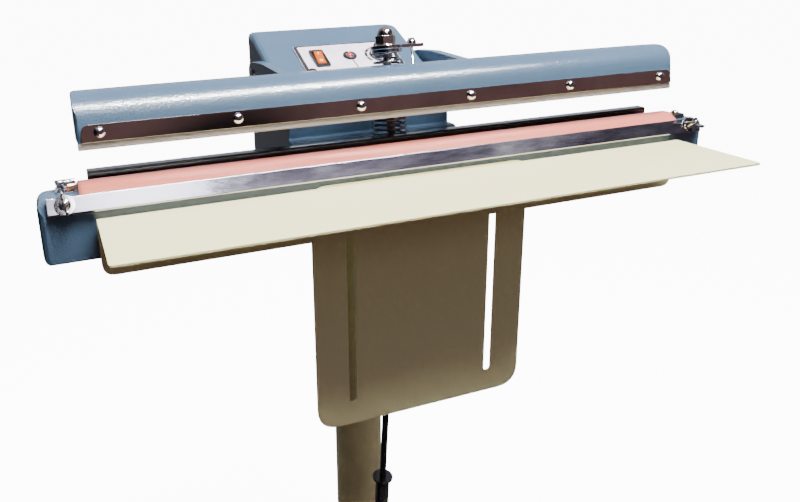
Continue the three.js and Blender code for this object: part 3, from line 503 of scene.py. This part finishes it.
def coil_points(foot, top, radius, turns, wire, per_turn=40):
    """A compression spring's wire: its last three quarters of a turn lie flat at both ends."""
    flat = 0.75 * 2 * math.pi
    total = turns * 2 * math.pi
    steps = int(turns * per_turn)
    foot, top = Vector(foot), Vector(top)
    closed_rise = wire * 0.75
    height = (top - foot).length
    points = []
    for i in range(steps + 1):
        angle = total * i / steps
        if angle < flat:
            share = closed_rise * angle / flat
        elif angle > total - flat:
            share = height - closed_rise * (total - angle) / flat
        else:
            share = closed_rise + (height - 2 * closed_rise) * (angle - flat) / (total - 2 * flat)
        centre = foot.lerp(top, share / height)
        points.append(centre + Vector((radius * math.cos(angle), radius * math.sin(angle), 0)))
    return points


def domed_screw(radius, height):
    """A round screw head that stands on local Z = 0."""
    steps = 8
    profile = [(0, 0), (radius * 0.94, 0), (radius, height * 0.12)]
    for k in range(1, steps + 1):
        angle = math.pi / 2 * k / steps
        profile.append((radius * math.cos(angle) if k < steps else 0, height * (0.2 + 0.8 * math.sin(angle))))
    return lathe(profile, 32)


def hexagon(across_corners, low, high, chamfer):
    """A hexagonal nut body with eased edges."""
    bm = bmesh.new()
    bmesh.ops.create_cone(bm, cap_ends=True, segments=6, radius1=across_corners, radius2=across_corners,
                          depth=high - low, matrix=at(0, 0, (low + high) / 2))
    softened(bm, chamfer, 3, 20)
    return bm


# ---------------------------------------------------------------- castings, sheet and bar in their own shapes
# Each row: node, material, width of its eased edges, the body it rides on and the steps of an eased edge.
REFINED = [
    ("upper_jaw", PAINT, 1.1, "jaw", 3), ("jaw_arm_left", PAINT, 1.4, "jaw", 3),
    ("jaw_arm_right", PAINT, 1.4, "jaw", 3), ("seal_beam", PAINT, 1.5, "stand", 3),
    ("control_housing", PAINT, 1.1, "stand", 3), ("housing_floor", CREAM, 0.5, "stand", 2),
    ("chrome_strip", STRIP, 0.25, "jaw", 2), ("silicone_strip", SILICONE, 0.3, "jaw", 2),
    ("front_bar", ALUMINIUM, 0.35, "stand", 3), ("seal_bar", STEEL, 0.3, "stand", 2),
    ("cloth_clamp_strip", BLACK, 0.45, "stand", 3), ("contact_plate", CHROME, 0.6, "rod", 3),
    ("work_table", CREAM, 0.45, "table", 2), ("slotted_plate", CREAM, 0.5, "table", 2),
    ("base_leg_left", CREAM, 0.6, "stand", 2), ("base_leg_right", CREAM, 0.6, "stand", 2),
    ("base_crossbar", CREAM, 0.6, "stand", 2), ("pedal_bracket", BLACK, 0.7, "stand", 2),
    ("pedal_arm_left", BLACK, 0.6, "pedal", 2), ("pedal_arm_right", BLACK, 0.6, "pedal", 2),
    ("foot_plate", BLACK, 0.7, "pedal", 2), ("pull_rod", BLACK, 0.4, "pull_link", 2),
    ("upper_rod", STEEL, 0.4, "rod", 2), ("switch_body", PLASTIC, 0.35, "stand", 2),
    ("label_plate", LABEL, 0.2, "stand", 2), ("microswitch", PLASTIC, 0.4, "jaw", 2),
    ("timer_module", BOARD, 0.5, "stand", 2), ("foot_front_left", RUBBER, 1.0, "stand", 2),
    ("foot_front_right", RUBBER, 1.0, "stand", 2), ("foot_rear_left", RUBBER, 1.0, "stand", 2),
    ("foot_rear_right", RUBBER, 1.0, "stand", 2),
]
for row in REFINED:
    refined(*row)

# Nodes that keep the CAD's own shape and take only a material.
KEPT = {
    "heating_element": STEEL, "hinge_pin_left": BLACK, "hinge_pin_right": BLACK,
    "transformer": CORE, "pedal_pivot_pin": STEEL, "link_pin": STEEL,
}
for node, material in KEPT.items():
    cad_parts[node].material_slots[0].material = material


# ---------------------------------------------------------------- springs
def add_springs():
    """Two coils drawn between their ends in the open pose, on no body, and the washer under the upper one."""
    foot = HEAD @ Vector((0, 64, NECK_TOP + 1.5))
    top = HEAD @ Vector((0, 65, 1.5))
    radius, turns, wire = 17.6, 13, 1.1
    coil = coil_points(foot, top, radius * MM, turns, 2 * wire * MM)
    piece = finish_mesh("return_spring_wire", tube(coil, wire * MM), SPRING, None, sharp=60,
                        replaces=("return_spring",))
    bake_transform(piece)

    radius, turns, wire = 13.2, 2.5, 1.2
    coil = coil_points((0, ROD_Y, JAW_TOP + 1.6), (0, ROD_Y, PLATE_Z - 1.6), radius, turns, 2 * wire, 64)
    piece = finish_mesh("pressure_spring_wire", tube(coil, wire), SPRING, None, JAW, 60, ("pressure_spring",))
    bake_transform(piece)
    washer = lathe([(6.2, -0.1), (15.2, -0.1), (15.6, 0.2), (15.4, 0.35), (6.4, 0.35), (6.2, 0.2),
                    (6.2, -0.1)], 64)
    finish_mesh("pressure_spring_washer", washer, CHROME, "jaw", JAW @ at(0, ROD_Y, JAW_TOP))


# ---------------------------------------------------------------- jaw: screws, nuts and the adjusting screw
def add_spring_cup():
    """The turned cup under the contact plate that holds the pressure spring's upper end."""
    profile = [(6, 0), (15.6, 0), (15.8, -0.4), (15.8, -3.2), (15.5, -3.5), (14.9, -3.5), (14.7, -3.2),
               (14.7, -0.9), (6, -0.9), (6, 0)]
    place = JAW @ at(0, ROD_Y, PLATE_Z - 0.1)
    finish_mesh("pressure_spring_cup", lathe(profile, 64), CHROME, "rod", place)


def add_strip_screws():
    """The row of screws along the jaw's chrome strip."""
    for i in range(SCREW_COUNT):
        x = (i - (SCREW_COUNT - 1) / 2) * SCREW_PITCH
        head = domed_screw(SCREW_RADIUS, 3.7)
        shank = lathe([(0, -8), (2, -8), (2, 0.05), (0, 0.05)], 20)
        place = JAW @ at(x, JAW_FRONT - 1.2, JAW_BOTTOM + 8) @ facing((0, -1, 0))
        finish_mesh(f"strip_screw_head_{i + 1}", joined([head, shank]), CHROME, "jaw", place, 40,
                    (f"strip_screw_{i + 1}",))


def add_acorn_nut():
    """A domed nut on its washer. The body is turned as it was left when tightened."""
    body_top, neck_top, dome_radius, dome_height, steps = 9.6, 11, 8.7, 8.6, 12
    body = hexagon(10.6, 0.9, body_top, 0.5)
    body.transform(Matrix.Rotation(math.radians(21), 4, "Z"))
    washer = lathe([(0, 0), (11, 0), (11.2, 0.4), (11, 0.9), (0, 0.9)], 48)
    profile = [(0, body_top - 0.4), (8.9, body_top - 0.4), (8.8, neck_top)]
    for k in range(1, steps + 1):
        angle = math.pi / 2 * k / steps
        radius = dome_radius * math.cos(angle) if k < steps else 0
        profile.append((radius, neck_top + dome_height * math.sin(angle)))
    finish_mesh("acorn_nut_body", joined([body, washer, lathe(profile, 48)]), CHROME, "rod",
                JAW @ at(0, ROD_Y, PLATE_Z + PLATE_THICK + GAP), 34, ("acorn_nut",))


def add_adjusting_screw():
    """A slotted round-headed screw whose thread reaches down to the microswitch. Its slot is no cut but a
    black bar of painted shade standing on the head.
    """
    threads, pitch, shank_end = 21, 1.05, -22.5
    head = domed_screw(5, 6)
    shank = [(0, shank_end)]
    for k in range(threads):
        z = shank_end + 0.2 + k * pitch
        shank += [(1.45, z), (1.7, z + 0.54)]
    shank += [(1.5, 0.2), (0, 0.2)]
    place = JAW @ at(ADJUSTER_X, ROD_Y, PLATE_Z + PLATE_THICK)
    finish_mesh("adjusting_screw_body", joined([head, lathe(shank, 16)]), CHROME, "rod", place, 34,
                ("adjusting_screw",))
    # Painted shade for the slot: a thin black bar on the dome, not a recess.
    slot_shade = box(-0.5, 0.5, -3.4, 3.4, 5.2, 7.0, 0.1)
    finish_mesh("adjusting_screw_slot_painted_shade", slot_shade, INK, "rod",
                place @ at(0, 0, -0.9) @ Matrix.Rotation(0.6, 4, "Z"))


# ---------------------------------------------------------------- beam: cloth, tension spring, terminal, nuts
def add_cloth():
    """A woven strip over the seal bar, a little slack and creased, tight along the bar's top."""
    section = [(-10.4, -50.6), (-8.8, -48.9), (-6.5, -47.4), (-3.2, -45.4), (-0.4, -43.3), (1.2, CLOTH_TOP),
               (4.6, CLOTH_TOP + 0.14), (9.4, CLOTH_TOP + 0.14), (13, CLOTH_TOP), (15, -42.9), (19, -44.4),
               (24, -46.4), (28.6, -48.3), (30.6, -49.2)]
    path = [Vector(p) for p in section]
    fine = []
    for a, b in zip(path, path[1:]):
        fine += [a.lerp(b, k / 4) for k in range(4)]
    fine.append(path[-1])
    columns, bar_start, bar_end = 150, 0.35, 0.62
    bm = bmesh.new()
    rows = []
    for i in range(columns + 1):
        x = -CLOTH_HALF + 2 * CLOTH_HALF * i / columns
        row = []
        for k, point in enumerate(fine):
            share = k / (len(fine) - 1)
            tight = 0.35 if bar_start < share < bar_end else 1.0
            free = max(0.0, math.sin(math.pi * share)) * tight
            wave = noise.noise(Vector((x * 0.012, share * 7, 3.1)))
            crease = noise.noise(Vector((x * 0.05, share * 16, 8.4)))
            lift = max(-0.18, (0.55 * wave + 0.2 * crease) * free * 0.9 + 0.2 * free)
            row.append(bm.verts.new((x, point.x, point.y + lift)))
        rows.append(row)
    for a, b in zip(rows, rows[1:]):
        for k in range(len(fine) - 1):
            bm.faces.new((a[k], b[k], b[k + 1], a[k + 1]))
    piece = finish_mesh("release_cloth_sheet", bm, CLOTH, "stand", HEAD, 60, ("release_cloth",))
    solid = piece.modifiers.new("thickness", "SOLIDIFY")
    solid.thickness = 0.25 * MM
    solid.offset = -1


def add_tensioner():
    """A close-wound spring that keeps the heating element tight, on two bent levers and a bracket."""
    start, length, y, z = -332.4, 16.4, 12, -42
    turns, per_turn, coil_radius = 19, 20, 2.1
    bracket = box(-333, -318, 3.4, 20.6, -49.6, -48, 0.3, 1.5)
    rivet = lathe([(0, 0), (2.3, 0), (2.6, 0.6), (2.4, 1.8), (1.4, 2.7), (0, 2.9)], 24)
    rivet.transform(at(-325.6, 8.6, -45.8) @ facing((0, -1, 0)))
    coil = []
    for k in range(turns * per_turn + 1):
        angle = 2 * math.pi * k / per_turn
        along = start + length * k / (turns * per_turn)
        coil.append(Vector((along, y + coil_radius * math.cos(angle), z + coil_radius * math.sin(angle))))
    core = lathe([(0, 0), (1.3, 0), (1.5, 0.3), (1.5, 16.2), (1.3, 16.6), (0, 16.6)], 20)
    core.transform(at(start, y, z) @ facing((1, 0, 0)))
    outline = rounded([(-332.6, -44), (-328.6, -49), (-321.6, -49), (-322.6, -45.6), (-326, -43.4)], 0.8)
    lever = prism(outline, 8.6, 10.2, 0.4)
    lever.transform(UPRIGHT)
    second = lever.copy()
    second.transform(at(0, 7, 0))
    parts = [bracket, rivet, tube(coil, 0.4, 8), lever, second, core]
    finish_mesh("element_tensioner_parts", joined(parts), CHROME, "stand", HEAD, 40, ("element_tensioner",))
    tail = rounded([(-325, -48.6), (-324, -49.4), (-315.6, -46.6), (-315.6, -45.4)], 0.3)
    tab = prism(tail, 4, 15, 0.2)
    tab.transform(UPRIGHT)
    finish_mesh("element_tail", tab, WINDING, "stand", HEAD)


def add_terminal():
    """An insulating block with a brass tab and its screw."""
    block = box(318, 334, 0, 14, -49.7, -45, 0.6, 1.2)
    finish_mesh("terminal_body", block, PLASTIC, "stand", HEAD, 34, ("terminal_block",))
    tab = box(316.5, 329.5, 3.5, 10.5, -45.1, -44.3, 0.15, 1.5)
    finish_mesh("terminal_tab", tab, BRASS, "stand", HEAD)
    finish_mesh("terminal_screw", domed_screw(3.7, 3.0), CHROME, "stand", HEAD @ at(326, 7, -44.5), 40)


def wing(turn):
    """One wing of a nut, turned about the nut's axis."""
    outline = rounded([(2.2, 2.4, 0.4), (4.6, 2.8, 1.5), (10.6, 8.4, 1.6), (10.4, 13.2, 2.2),
                       (6.6, 12.8, 2.2), (2.9, 6.6, 1.5)], 1)
    bm = prism(outline, -0.95, 0.95, 0.55, 3)
    bm.transform(Matrix.Rotation(turn, 4, "Z") @ Matrix.Rotation(math.pi / 2, 4, "X"))
    return bm


def add_wing_nuts():
    """Each nut turns on its stud, square to the bar's slanted face."""
    face_y, face_z, threads, pitch = -14.75, -54.2, 13, 0.8
    lean = math.atan2(-12.8, -6.5) + math.pi / 2
    for side, sign, turn in (("left", -1, 0.15), ("right", 1, 0.9)):
        seat = HEAD @ at(sign * WING_NUT_X, face_y, face_z) @ Matrix.Rotation(math.pi / 2 + lean, 4, "X")
        turned = seat @ Matrix.Rotation(math.pi / 2 + turn, 4, "Z")
        hub = lathe([(2.3, 1.7), (4.9, 1.7), (4.8, 3), (3.9, 6.4), (3.2, 7.4), (2.3, 7.6), (2.3, 1.7)], 32)
        finish_mesh(f"wing_nut_{side}_body", joined([hub, wing(0), wing(math.pi)]), CHROME,
                    f"{side}_wing_nut", turned, 40, (f"wing_nut_{side}",))
        washer = lathe([(2.4, 0.25), (8.4, 0.25), (8.6, 0.5), (8.5, 1.4), (8.3, 1.65), (2.4, 1.65),
                        (2.4, 0.25)], 40)
        finish_mesh(f"wing_nut_{side}_washer", washer, CHROME, "stand", seat, 40)
        stud = [(0, 0.4), (2.0, 0.4)]
        for k in range(threads):
            stud += [(1.75, 0.9 + k * pitch), (2.05, 1.3 + k * pitch)]
        stud += [(1.7, 11.4), (0, 11.6)]
        finish_mesh(f"stud_{side}", lathe(stud, 24), STEEL, "stand", seat, 50)


def add_neck_bolts():
    """Two hexagon bolts that hold the neck to the beam, either side of the return spring."""
    for side, x in (("left", -37), ("right", 37)):
        body = hexagon(4.6, 0.8, 4.2, 0.35)
        washer = lathe([(0, 0.05), (5.6, 0.05), (5.7, 0.4), (5.5, 0.8), (0, 0.8)], 32)
        finish_mesh(f"neck_bolt_{side}", joined([body, washer]), STEEL, "stand",
                    HEAD @ at(x, 58, NECK_TOP), 34)


# ---------------------------------------------------------------- control panel
def flat_band(outer, inner, low, high):
    """A flat band between two outlines that have as many points as each other."""
    bm = bmesh.new()
    loops = []
    for outline, z in ((outer, low), (outer, high), (inner, high), (inner, low)):
        loops.append([bm.verts.new((p[0], p[1], z)) for p in outline])
    count = len(outer)
    for a, b in zip(loops, loops[1:] + loops[:1]):
        for k in range(count):
            bm.faces.new((a[k], a[(k + 1) % count], b[(k + 1) % count], b[k]))
    return bm


def add_number(name, words, size, x, y, z):
    """A printed number, centred on its place on the panel."""
    curve = bpy.data.curves.new(name, "FONT")
    curve.body = words
    curve.size = size
    curve.align_x, curve.align_y = "CENTER", "CENTER"
    curve.extrude = 0.03
    curve.resolution_u = 3
    source = bpy.data.objects.new(name + "_curve", curve)
    bpy.context.scene.collection.objects.link(source)
    bpy.context.view_layer.update()
    mesh = bpy.data.meshes.new_from_object(source)
    bpy.data.objects.remove(source)
    bm = bmesh.new()
    bm.from_mesh(mesh)
    bpy.data.meshes.remove(mesh)
    bmesh.ops.remove_doubles(bm, verts=bm.verts, dist=1e-4)
    finish_mesh(name, bm, INK, "stand", PANEL @ at(x, y, z))


def around_knob(radius, degrees):
    """A point on the panel at a distance and bearing from the knob's middle."""
    angle = math.radians(degrees)
    return KNOB_X + radius * math.cos(angle), KNOB_Y + radius * math.sin(angle)


def add_dial(low, high):
    """A broken ring round the knob and the numbers 1 to 8 outside it."""
    marks = []
    for start in range(-54, 216, 30):
        arc = [around_knob(19.6, degrees) for degrees in range(start, start + 28, 3)]
        arc += [around_knob(16.4, degrees) for degrees in range(start + 27, start - 1, -3)]
        marks.append(prism(arc, low, high))
    finish_mesh("dial_ring", joined(marks), INK, "stand", PANEL)
    first, sweep, count = 232, 284, 8
    for number in range(1, count + 1):
        x, y = around_knob(22.4, first - sweep * (number - 1) / (count - 1))
        add_number(f"dial_number_{number}", str(number), 3, x, y, low + 0.06)


def add_label():
    """What is printed on the label plate, and the screws that hold it."""
    face, ink = 1.5, 1.5 + 0.14  # heights of the plate's face and of the print on it
    outer, inner = rectangle(-55.7, -34.7, 65.7, 28.7, 3.8), rectangle(-51.4, -31, 62, 26.4, 2.8)
    border = flat_band(outer, inner, face, ink)
    finish_mesh("label_border", border, INK, "stand", PANEL, 30)
    add_dial(face, ink)
    leader = box(-0.75, 0.75, -24, -8.6, face, ink, 0.0)
    leader.transform(at(LAMP_X, 0, 0) @ Matrix.Rotation(math.radians(4), 4, "Z"))
    finish_mesh("lamp_leader_line", leader, INK, "stand", PANEL)
    left, right, low, high = -48.5, 60, -25.5, 22.5
    for name, x, y in (("left_low", left, low), ("right_low", right, low), ("right_high", right, high)):
        collar = lathe([(2.4, face), (5.2, face), (5.1, face + 0.5), (4.6, face + 0.7), (2.6, face + 0.6),
                        (2.4, face)], 32)
        finish_mesh(f"label_collar_{name}", collar, PLASTIC, "stand", PANEL @ at(x, y, 0))
        finish_mesh(f"label_screw_{name}", domed_screw(2.4, 1.0), CHROME, "stand", PANEL @ at(x, y, face))


def add_switch():
    """The rocker's dished cap, tilted to its on side, with a stroke and a circle on it."""
    profile = rounded([(-11.4, 3.2, 0.8), (-9, -2, 1.5), (0, -3.6, 3), (9, -2, 1.5), (10.5, 6.6, 0.9),
                       (1.4, 4.5, 7)], 1)
    rocker = prism(profile, -5, 5, 0.5, 3)
    along_x = Matrix(((0, 0, 1, 0), (1, 0, 0, 0), (0, 1, 0, 0), (0, 0, 0, 1)))  # the outline lies in Y and Z
    rocker.transform(along_x)
    middle = PANEL @ at(SWITCH_X, SWITCH_Y, 0)
    finish_mesh("rocker_cap", rocker, ORANGE, "rocker", middle, 34, ("power_rocker",))
    stroke = box(-0.4, 0.4, -1.8, 1.8, 0, 0.08, 0.02)
    finish_mesh("rocker_on_mark", stroke, WHITE, "rocker",
                middle @ at(0, 6.2, 5.55) @ Matrix.Rotation(0.22, 4, "X"))
    circle = lathe([(1.3, 0), (1.95, 0), (1.95, 0.08), (1.3, 0.08), (1.3, 0)], 32)
    finish_mesh("rocker_off_mark", circle, WHITE, "rocker",
                middle @ at(0, -5.6, 3.72) @ Matrix.Rotation(0.1, 4, "X"))


def add_lamp():
    """A domed lens in a plated collar and a black bezel."""
    place = PANEL @ at(LAMP_X, 0, 0)
    bezel = lathe([(4.4, -8), (5.8, -8), (5.8, 1.6), (8.3, 1.6), (8.4, 2.2), (7.9, 3.3), (6.6, 3.8),
                   (5.4, 3.3), (4.4, 2.6), (4.4, -8)], 48)
    finish_mesh("lamp_bezel", bezel, PLASTIC, "stand", place, 40, ("pilot_lamp",))
    collar = lathe([(3.6, 2.0), (5.3, 2.0), (5.2, 3.6), (4.4, 4.0), (3.6, 3.5), (3.6, 2.0)], 40)
    finish_mesh("lamp_collar", collar, CHROME, "stand", place, 40)
    lens = domed_screw(3.7, 3.2)
    finish_mesh("lamp_lens", lens, LENS, "stand", place @ at(0, 0, 2.3), 40)


def add_knob():
    """A skirted knob whose body is fluted, with a pointer across its top."""
    segments, flutes, flute_depth = 96, 24, 0.35
    flute_low, flute_high, flute_inner = 5.5, 15.45, 9
    levels = [(0.0, -5), (3.1, -5), (3.1, 1.7), (13.6, 1.7), (14, 2.4), (13.8, 4.2), (12.2, 5.2), (11.4, 6.4),
              (10.9, 13.8), (10.2, 15.4), (8.6, 16), (7.2, 15.5), (0.0, 15.5)]
    bm = bmesh.new()
    rings = []
    for radius, height in levels:
        fluted = flute_low < height < flute_high and radius > flute_inner
        row = []
        for k in range(segments):
            angle = 2 * math.pi * k / segments
            reach = radius - (flute_depth * (1 + math.cos(angle * flutes)) / 2 if fluted else 0)
            row.append(bm.verts.new((reach * math.cos(angle), reach * math.sin(angle), height)))
        rings.append(row)
    for low, high in zip(rings, rings[1:]):
        for k in range(segments):
            j = (k + 1) % segments
            bm.faces.new((low[k], low[j], high[j], high[k]))
    bmesh.ops.remove_doubles(bm, verts=bm.verts, dist=1e-5)
    place = PANEL @ at(KNOB_X, KNOB_Y, 0)
    finish_mesh("knob_body", bm, PLASTIC, "knob", place, 45, ("timer_knob",))
    pointer = box(-0.55, 0.55, 3, 9.6, 15.4, 16.1, 0.12)
    finish_mesh("knob_pointer", pointer, WHITE, "knob", place)


# ---------------------------------------------------------------- column, base, rod sleeve and pedal
def add_column():
    """The pipe on its flange, with the weld round its foot, and the bolts that hold the flange."""
    foot = LEG_TOP + GAP + FLANGE_THICK
    top = SEAL_HEIGHT + HOUSING_BOTTOM - FLOOR_THICK - GAP
    outside, inside = COLUMN_RADIUS, COLUMN_RADIUS - COLUMN_WALL
    pipe = lathe([(inside, foot), (outside, foot - 0.5), (outside, top - 0.6), (29.7, top), (27.8, top),
                  (inside, top - 0.5), (inside, foot)], 96)
    pipe.transform(at(0, COLUMN_Y, 0))
    flange = box(-55, 55, COLUMN_Y - 34, COLUMN_Y + 34, LEG_TOP + GAP, foot, 0.6, 10)
    bead = []
    bead_steps, ripples, ripple_depth = 240, 46, 0.25
    for k in range(bead_steps):
        angle = 2 * math.pi * k / bead_steps
        radius = 31.6 + ripple_depth * math.sin(angle * ripples)
        bead.append(Vector((radius * math.cos(angle), COLUMN_Y + radius * math.sin(angle), foot + 0.9)))
    weld = tube(bead, 2.1, 10, closed=True)
    finish_mesh("column_pipe", joined([pipe, flange, weld]), CREAM, "stand", STAND, 34, ("column",))
    for side, x in (("left", -48.4), ("right", 48.4)):
        for end, y in (("front", -25), ("rear", 25)):
            bolt = hexagon(4.8, 0.9, 4.6, 0.4)
            washer = lathe([(0, 0.1), (5.5, 0.1), (5.6, 0.5), (5.4, 0.9), (0, 0.9)], 32)
            finish_mesh(f"flange_bolt_{side}_{end}", joined([bolt, washer]), STEEL, "stand",
                        STAND @ at(x, COLUMN_Y + y, foot), 34)


def sleeve_axis():
    """Top centre of the sleeve's disc and the rod's direction, from the linkage's dimensions."""
    cosine, sine = math.cos(OPEN), math.sin(OPEN)
    behind, below = ROD_Y - HINGE_Y, ROD_PIN_Z - HINGE_Z
    pin_y = HINGE_Y + behind * cosine + below * sine
    pin_z = HINGE_Z - behind * sine + below * cosine
    lean = math.atan2(LINK_FOOT_Y - pin_y, pin_z + SEAL_HEIGHT - LINK_FOOT_H)
    link = HEAD @ at(0, pin_y, pin_z) @ Matrix.Rotation(lean, 4, "X")
    top = link @ Vector((0, 0, -SLEEVE_DROP))
    return top, (link.translation - top).normalized()


def add_rod_sleeve():
    """The threaded black sleeve and disc that set the pull rod's length."""
    centre, axis = sleeve_axis()
    threads, pitch = 14, 2.7
    profile = [(4.3, 0), (12.1, 0), (12.5, -0.4), (12.5, -2.6), (12.1, -3), (9, -3.3), (8.5, -4.4)]
    for k in range(threads):
        profile += [(8.5, -6 - k * pitch), (8.1, -7.1 - k * pitch)]
    profile += [(8.4, -44.6), (7.6, -46.6), (6.5, -48), (4.3, -48), (4.3, 0)]
    place = Matrix.Translation(centre) @ facing(axis) @ SCALE
    finish_mesh("rod_sleeve", lathe(profile, 48), BLACK, "pull_link", place, 34, ("rod_adjuster",))


def add_foot_pad():
    """A ribbed rubber pad on the pedal's plate."""
    tilt = -math.atan2(LINK_FOOT_H - PEDAL_PIVOT_H, PEDAL_PIVOT_Y - LINK_FOOT_Y)
    place = STAND @ at(0, PEDAL_PIVOT_Y, PEDAL_PIVOT_H) @ Matrix.Rotation(tilt, 4, "X")
    front, ribs, pitch, rib_width = -PEDAL_REACH, 9, 8.6, 4.4
    parts = [box(-55, 55, front + 7, front + 89, 13.6, 14.8, 0.4, 6)]
    for k in range(ribs):
        y = front + 13 + k * pitch
        parts.append(box(-51, 51, y, y + rib_width, 14.6, 16.4, 0.7, 2))
    finish_mesh("foot_pad", joined(parts), RUBBER, "pedal", place, 34)


def add_table_bolts():
    """The two bolts in the slots behind the table, with a recess in each head."""
    for side, x in (("left", -SLOT_X), ("right", SLOT_X)):
        head = lathe([(0, 0.1), (7.1, 0.1), (7.4, 0.5), (7.4, 3.6), (6.9, 4.5), (5.4, 4.9), (3, 4.9),
                      (2.8, 2.8), (0, 2.8)], 40)
        shank = lathe([(0, -12), (3, -12), (3.1, 0.2), (0, 0.2)], 24)
        finish_mesh(f"table_bolt_{side}_head", joined([head, shank]), STEEL, "stand",
                    HEAD @ at(x, TABLE_BACK, TABLE_BOLT_Z) @ facing((0, -1, 0)), 34, (f"table_bolt_{side}",))


def add_gland():
    """The cord's gland in the housing's rear wall, with a ribbed nut."""
    ribs = 12
    parts = [lathe([(4.5, -8), (8, -8), (8, 0.4), (11.6, 0.4), (12, 0.8), (12, 4.6), (11.4, 5.2), (9.2, 5.6),
                    (9, 8), (8.2, 12.8), (7.4, 14), (4.5, 14), (4.5, -8)], 48)]
    for k in range(ribs):
        rib = box(8.2, 9.4, -0.8, 0.8, 5.8, 11.8, 0.25)
        rib.transform(Matrix.Rotation(2 * math.pi * k / ribs, 4, "Z"))
        parts.append(rib)
    finish_mesh("cord_gland_body", joined(parts), PLASTIC, "stand",
                HEAD @ at(-50, HOUSING_BACK, -75) @ facing((0, 1, 0)), 34, ("cord_gland",))


def add_floor_screws():
    """Screws under the housing's floor, one near each corner."""
    for side, x in (("left", -78), ("right", 78)):
        for end, y in (("front", 62), ("rear", 252)):
            place = HEAD @ at(x, y, HOUSING_BOTTOM - FLOOR_THICK) @ facing((0, 0, -1))
            finish_mesh(f"floor_screw_{side}_{end}", domed_screw(4, 2.4), STEEL, "stand", place, 40)


add_springs()
add_spring_cup()
add_strip_screws()
add_acorn_nut()
add_adjusting_screw()
add_cloth()
add_tensioner()
add_terminal()
add_wing_nuts()
add_neck_bolts()
add_label()
add_switch()
add_lamp()
add_knob()
add_column()
add_rod_sleeve()
add_foot_pad()
add_table_bolts()
add_gland()
add_floor_screws()


# ---------------------------------------------------------------- floor, backdrop and light
def add_floor():
    """A plain white floor that glows a little, so that it stays white, and isn't seen in reflections."""
    half_side, drop = 40, 0.0005
    bm = bmesh.new()
    bmesh.ops.create_grid(bm, x_segments=1, y_segments=1, size=half_side)
    mesh = bpy.data.meshes.new("floor")
    bm.to_mesh(mesh)
    bm.free()
    floor = bpy.data.objects.new("floor", mesh)
    bpy.context.scene.collection.objects.link(floor)
    white = Finish("floor_white", 0.9, Base_Color=(0.9, 0.9, 0.9, 1), Specular_IOR_Level=0,
                   Emission_Color=(1, 1, 1, 1), Emission_Strength=11)
    mesh.materials.append(white.material)
    floor.location.z = cad_box[0].z - drop
    floor.visible_diffuse = False
    floor.visible_glossy = False


def add_area(name, place, aim, size, power, colour, diffuse=True, glossy=True):
    """A rectangular light aimed at a point. It can be left out of diffuse light or of reflections."""
    data = bpy.data.lights.new(name, "AREA")
    data.shape = "RECTANGLE"
    data.size, data.size_y = size
    data.energy = power
    data.color = colour
    light = bpy.data.objects.new(name, data)
    bpy.context.scene.collection.objects.link(light)
    light.location = place
    light.rotation_euler = (Vector(aim) - Vector(place)).to_track_quat("-Z", "Y").to_euler()
    light.visible_diffuse, light.visible_glossy = diffuse, glossy


def add_world():
    """A dim brown room in front, a pale wall behind and a grey ceiling, but plain white to the camera."""
    world = bpy.data.worlds.new("studio")
    bpy.context.scene.world = world
    world.use_nodes = True
    world.node_tree.nodes.clear()
    tree = Tree(world.node_tree, "Generated")
    split = tree.nodes.new("ShaderNodeSeparateXYZ")
    tree.link(tree.coords, split.inputs["Vector"])
    across, depth, height = split.outputs

    rise = tree.span(height, 0, 1, -1, 1)
    front = tree.ramp(rise, [(0.0, (0.05, 0.045, 0.06)), (0.5, (0.045, 0.032, 0.03)),
                             (0.6, (0.05, 0.04, 0.042)), (0.72, (0.045, 0.043, 0.065)),
                             (1.0, (0.28, 0.3, 0.34))])
    back = tree.ramp(rise, [(0.0, (0.1, 0.09, 0.085)), (0.48, (0.2, 0.2, 0.21)), (0.54, (0.85, 0.88, 1.0)),
                            (0.7, (0.55, 0.58, 0.68)), (1.0, (0.4, 0.42, 0.47))])
    patches = tree.ramp(tree.noise(3.2, 1), [(0.42, (0.35, 0.35, 0.4)), (0.6, (3.2, 2.5, 2.5))])
    furnished = tree.mixed(1, front, patches, "MULTIPLY")
    walls = tree.mixed(tree.span(depth, 0, 1, -0.1, 0.3), furnished, back)

    room = tree.nodes.new("ShaderNodeBackground")
    tree.link(walls, room.inputs["Color"])
    tree.link(tree.span(across, 0.05, 1, -0.9, -0.1), room.inputs["Strength"])  # darker to the left
    white = tree.nodes.new("ShaderNodeBackground")
    white.inputs["Color"].default_value = (1, 1, 1, 1)
    white.inputs["Strength"].default_value = 14.0
    path = tree.nodes.new("ShaderNodeLightPath")
    mix = tree.nodes.new("ShaderNodeMixShader")
    tree.link(path.outputs["Is Camera Ray"], mix.inputs[0])
    tree.link(room.outputs[0], mix.inputs[1])
    tree.link(white.outputs[0], mix.inputs[2])
    out = tree.nodes.new("ShaderNodeOutputWorld")
    tree.link(mix.outputs[0], out.inputs["Surface"])


add_floor()
add_world()
add_area("overhead", (0.42, -0.72, 2.95), (0, -0.02, 0.88), (1.3, 0.8), 215, (1.0, 0.99, 0.97), glossy=False)
add_area("fill", (1.0, -2.2, 1.9), (0, 0, 0.85), (0.9, 0.9), 5, (0.93, 0.96, 1.0), glossy=False)
add_area("card", (-0.05, -1.9, 2.2), (-0.2, 0, 0.88), (0.5, 0.32), 5.5, (0.98, 0.98, 1.0), diffuse=False)
add_area("glint", (0.35, -1.15, 2.65), (0.05, -0.07, 0.92), (1.5, 0.11), 300, (1.0, 1.0, 1.0), diffuse=False)
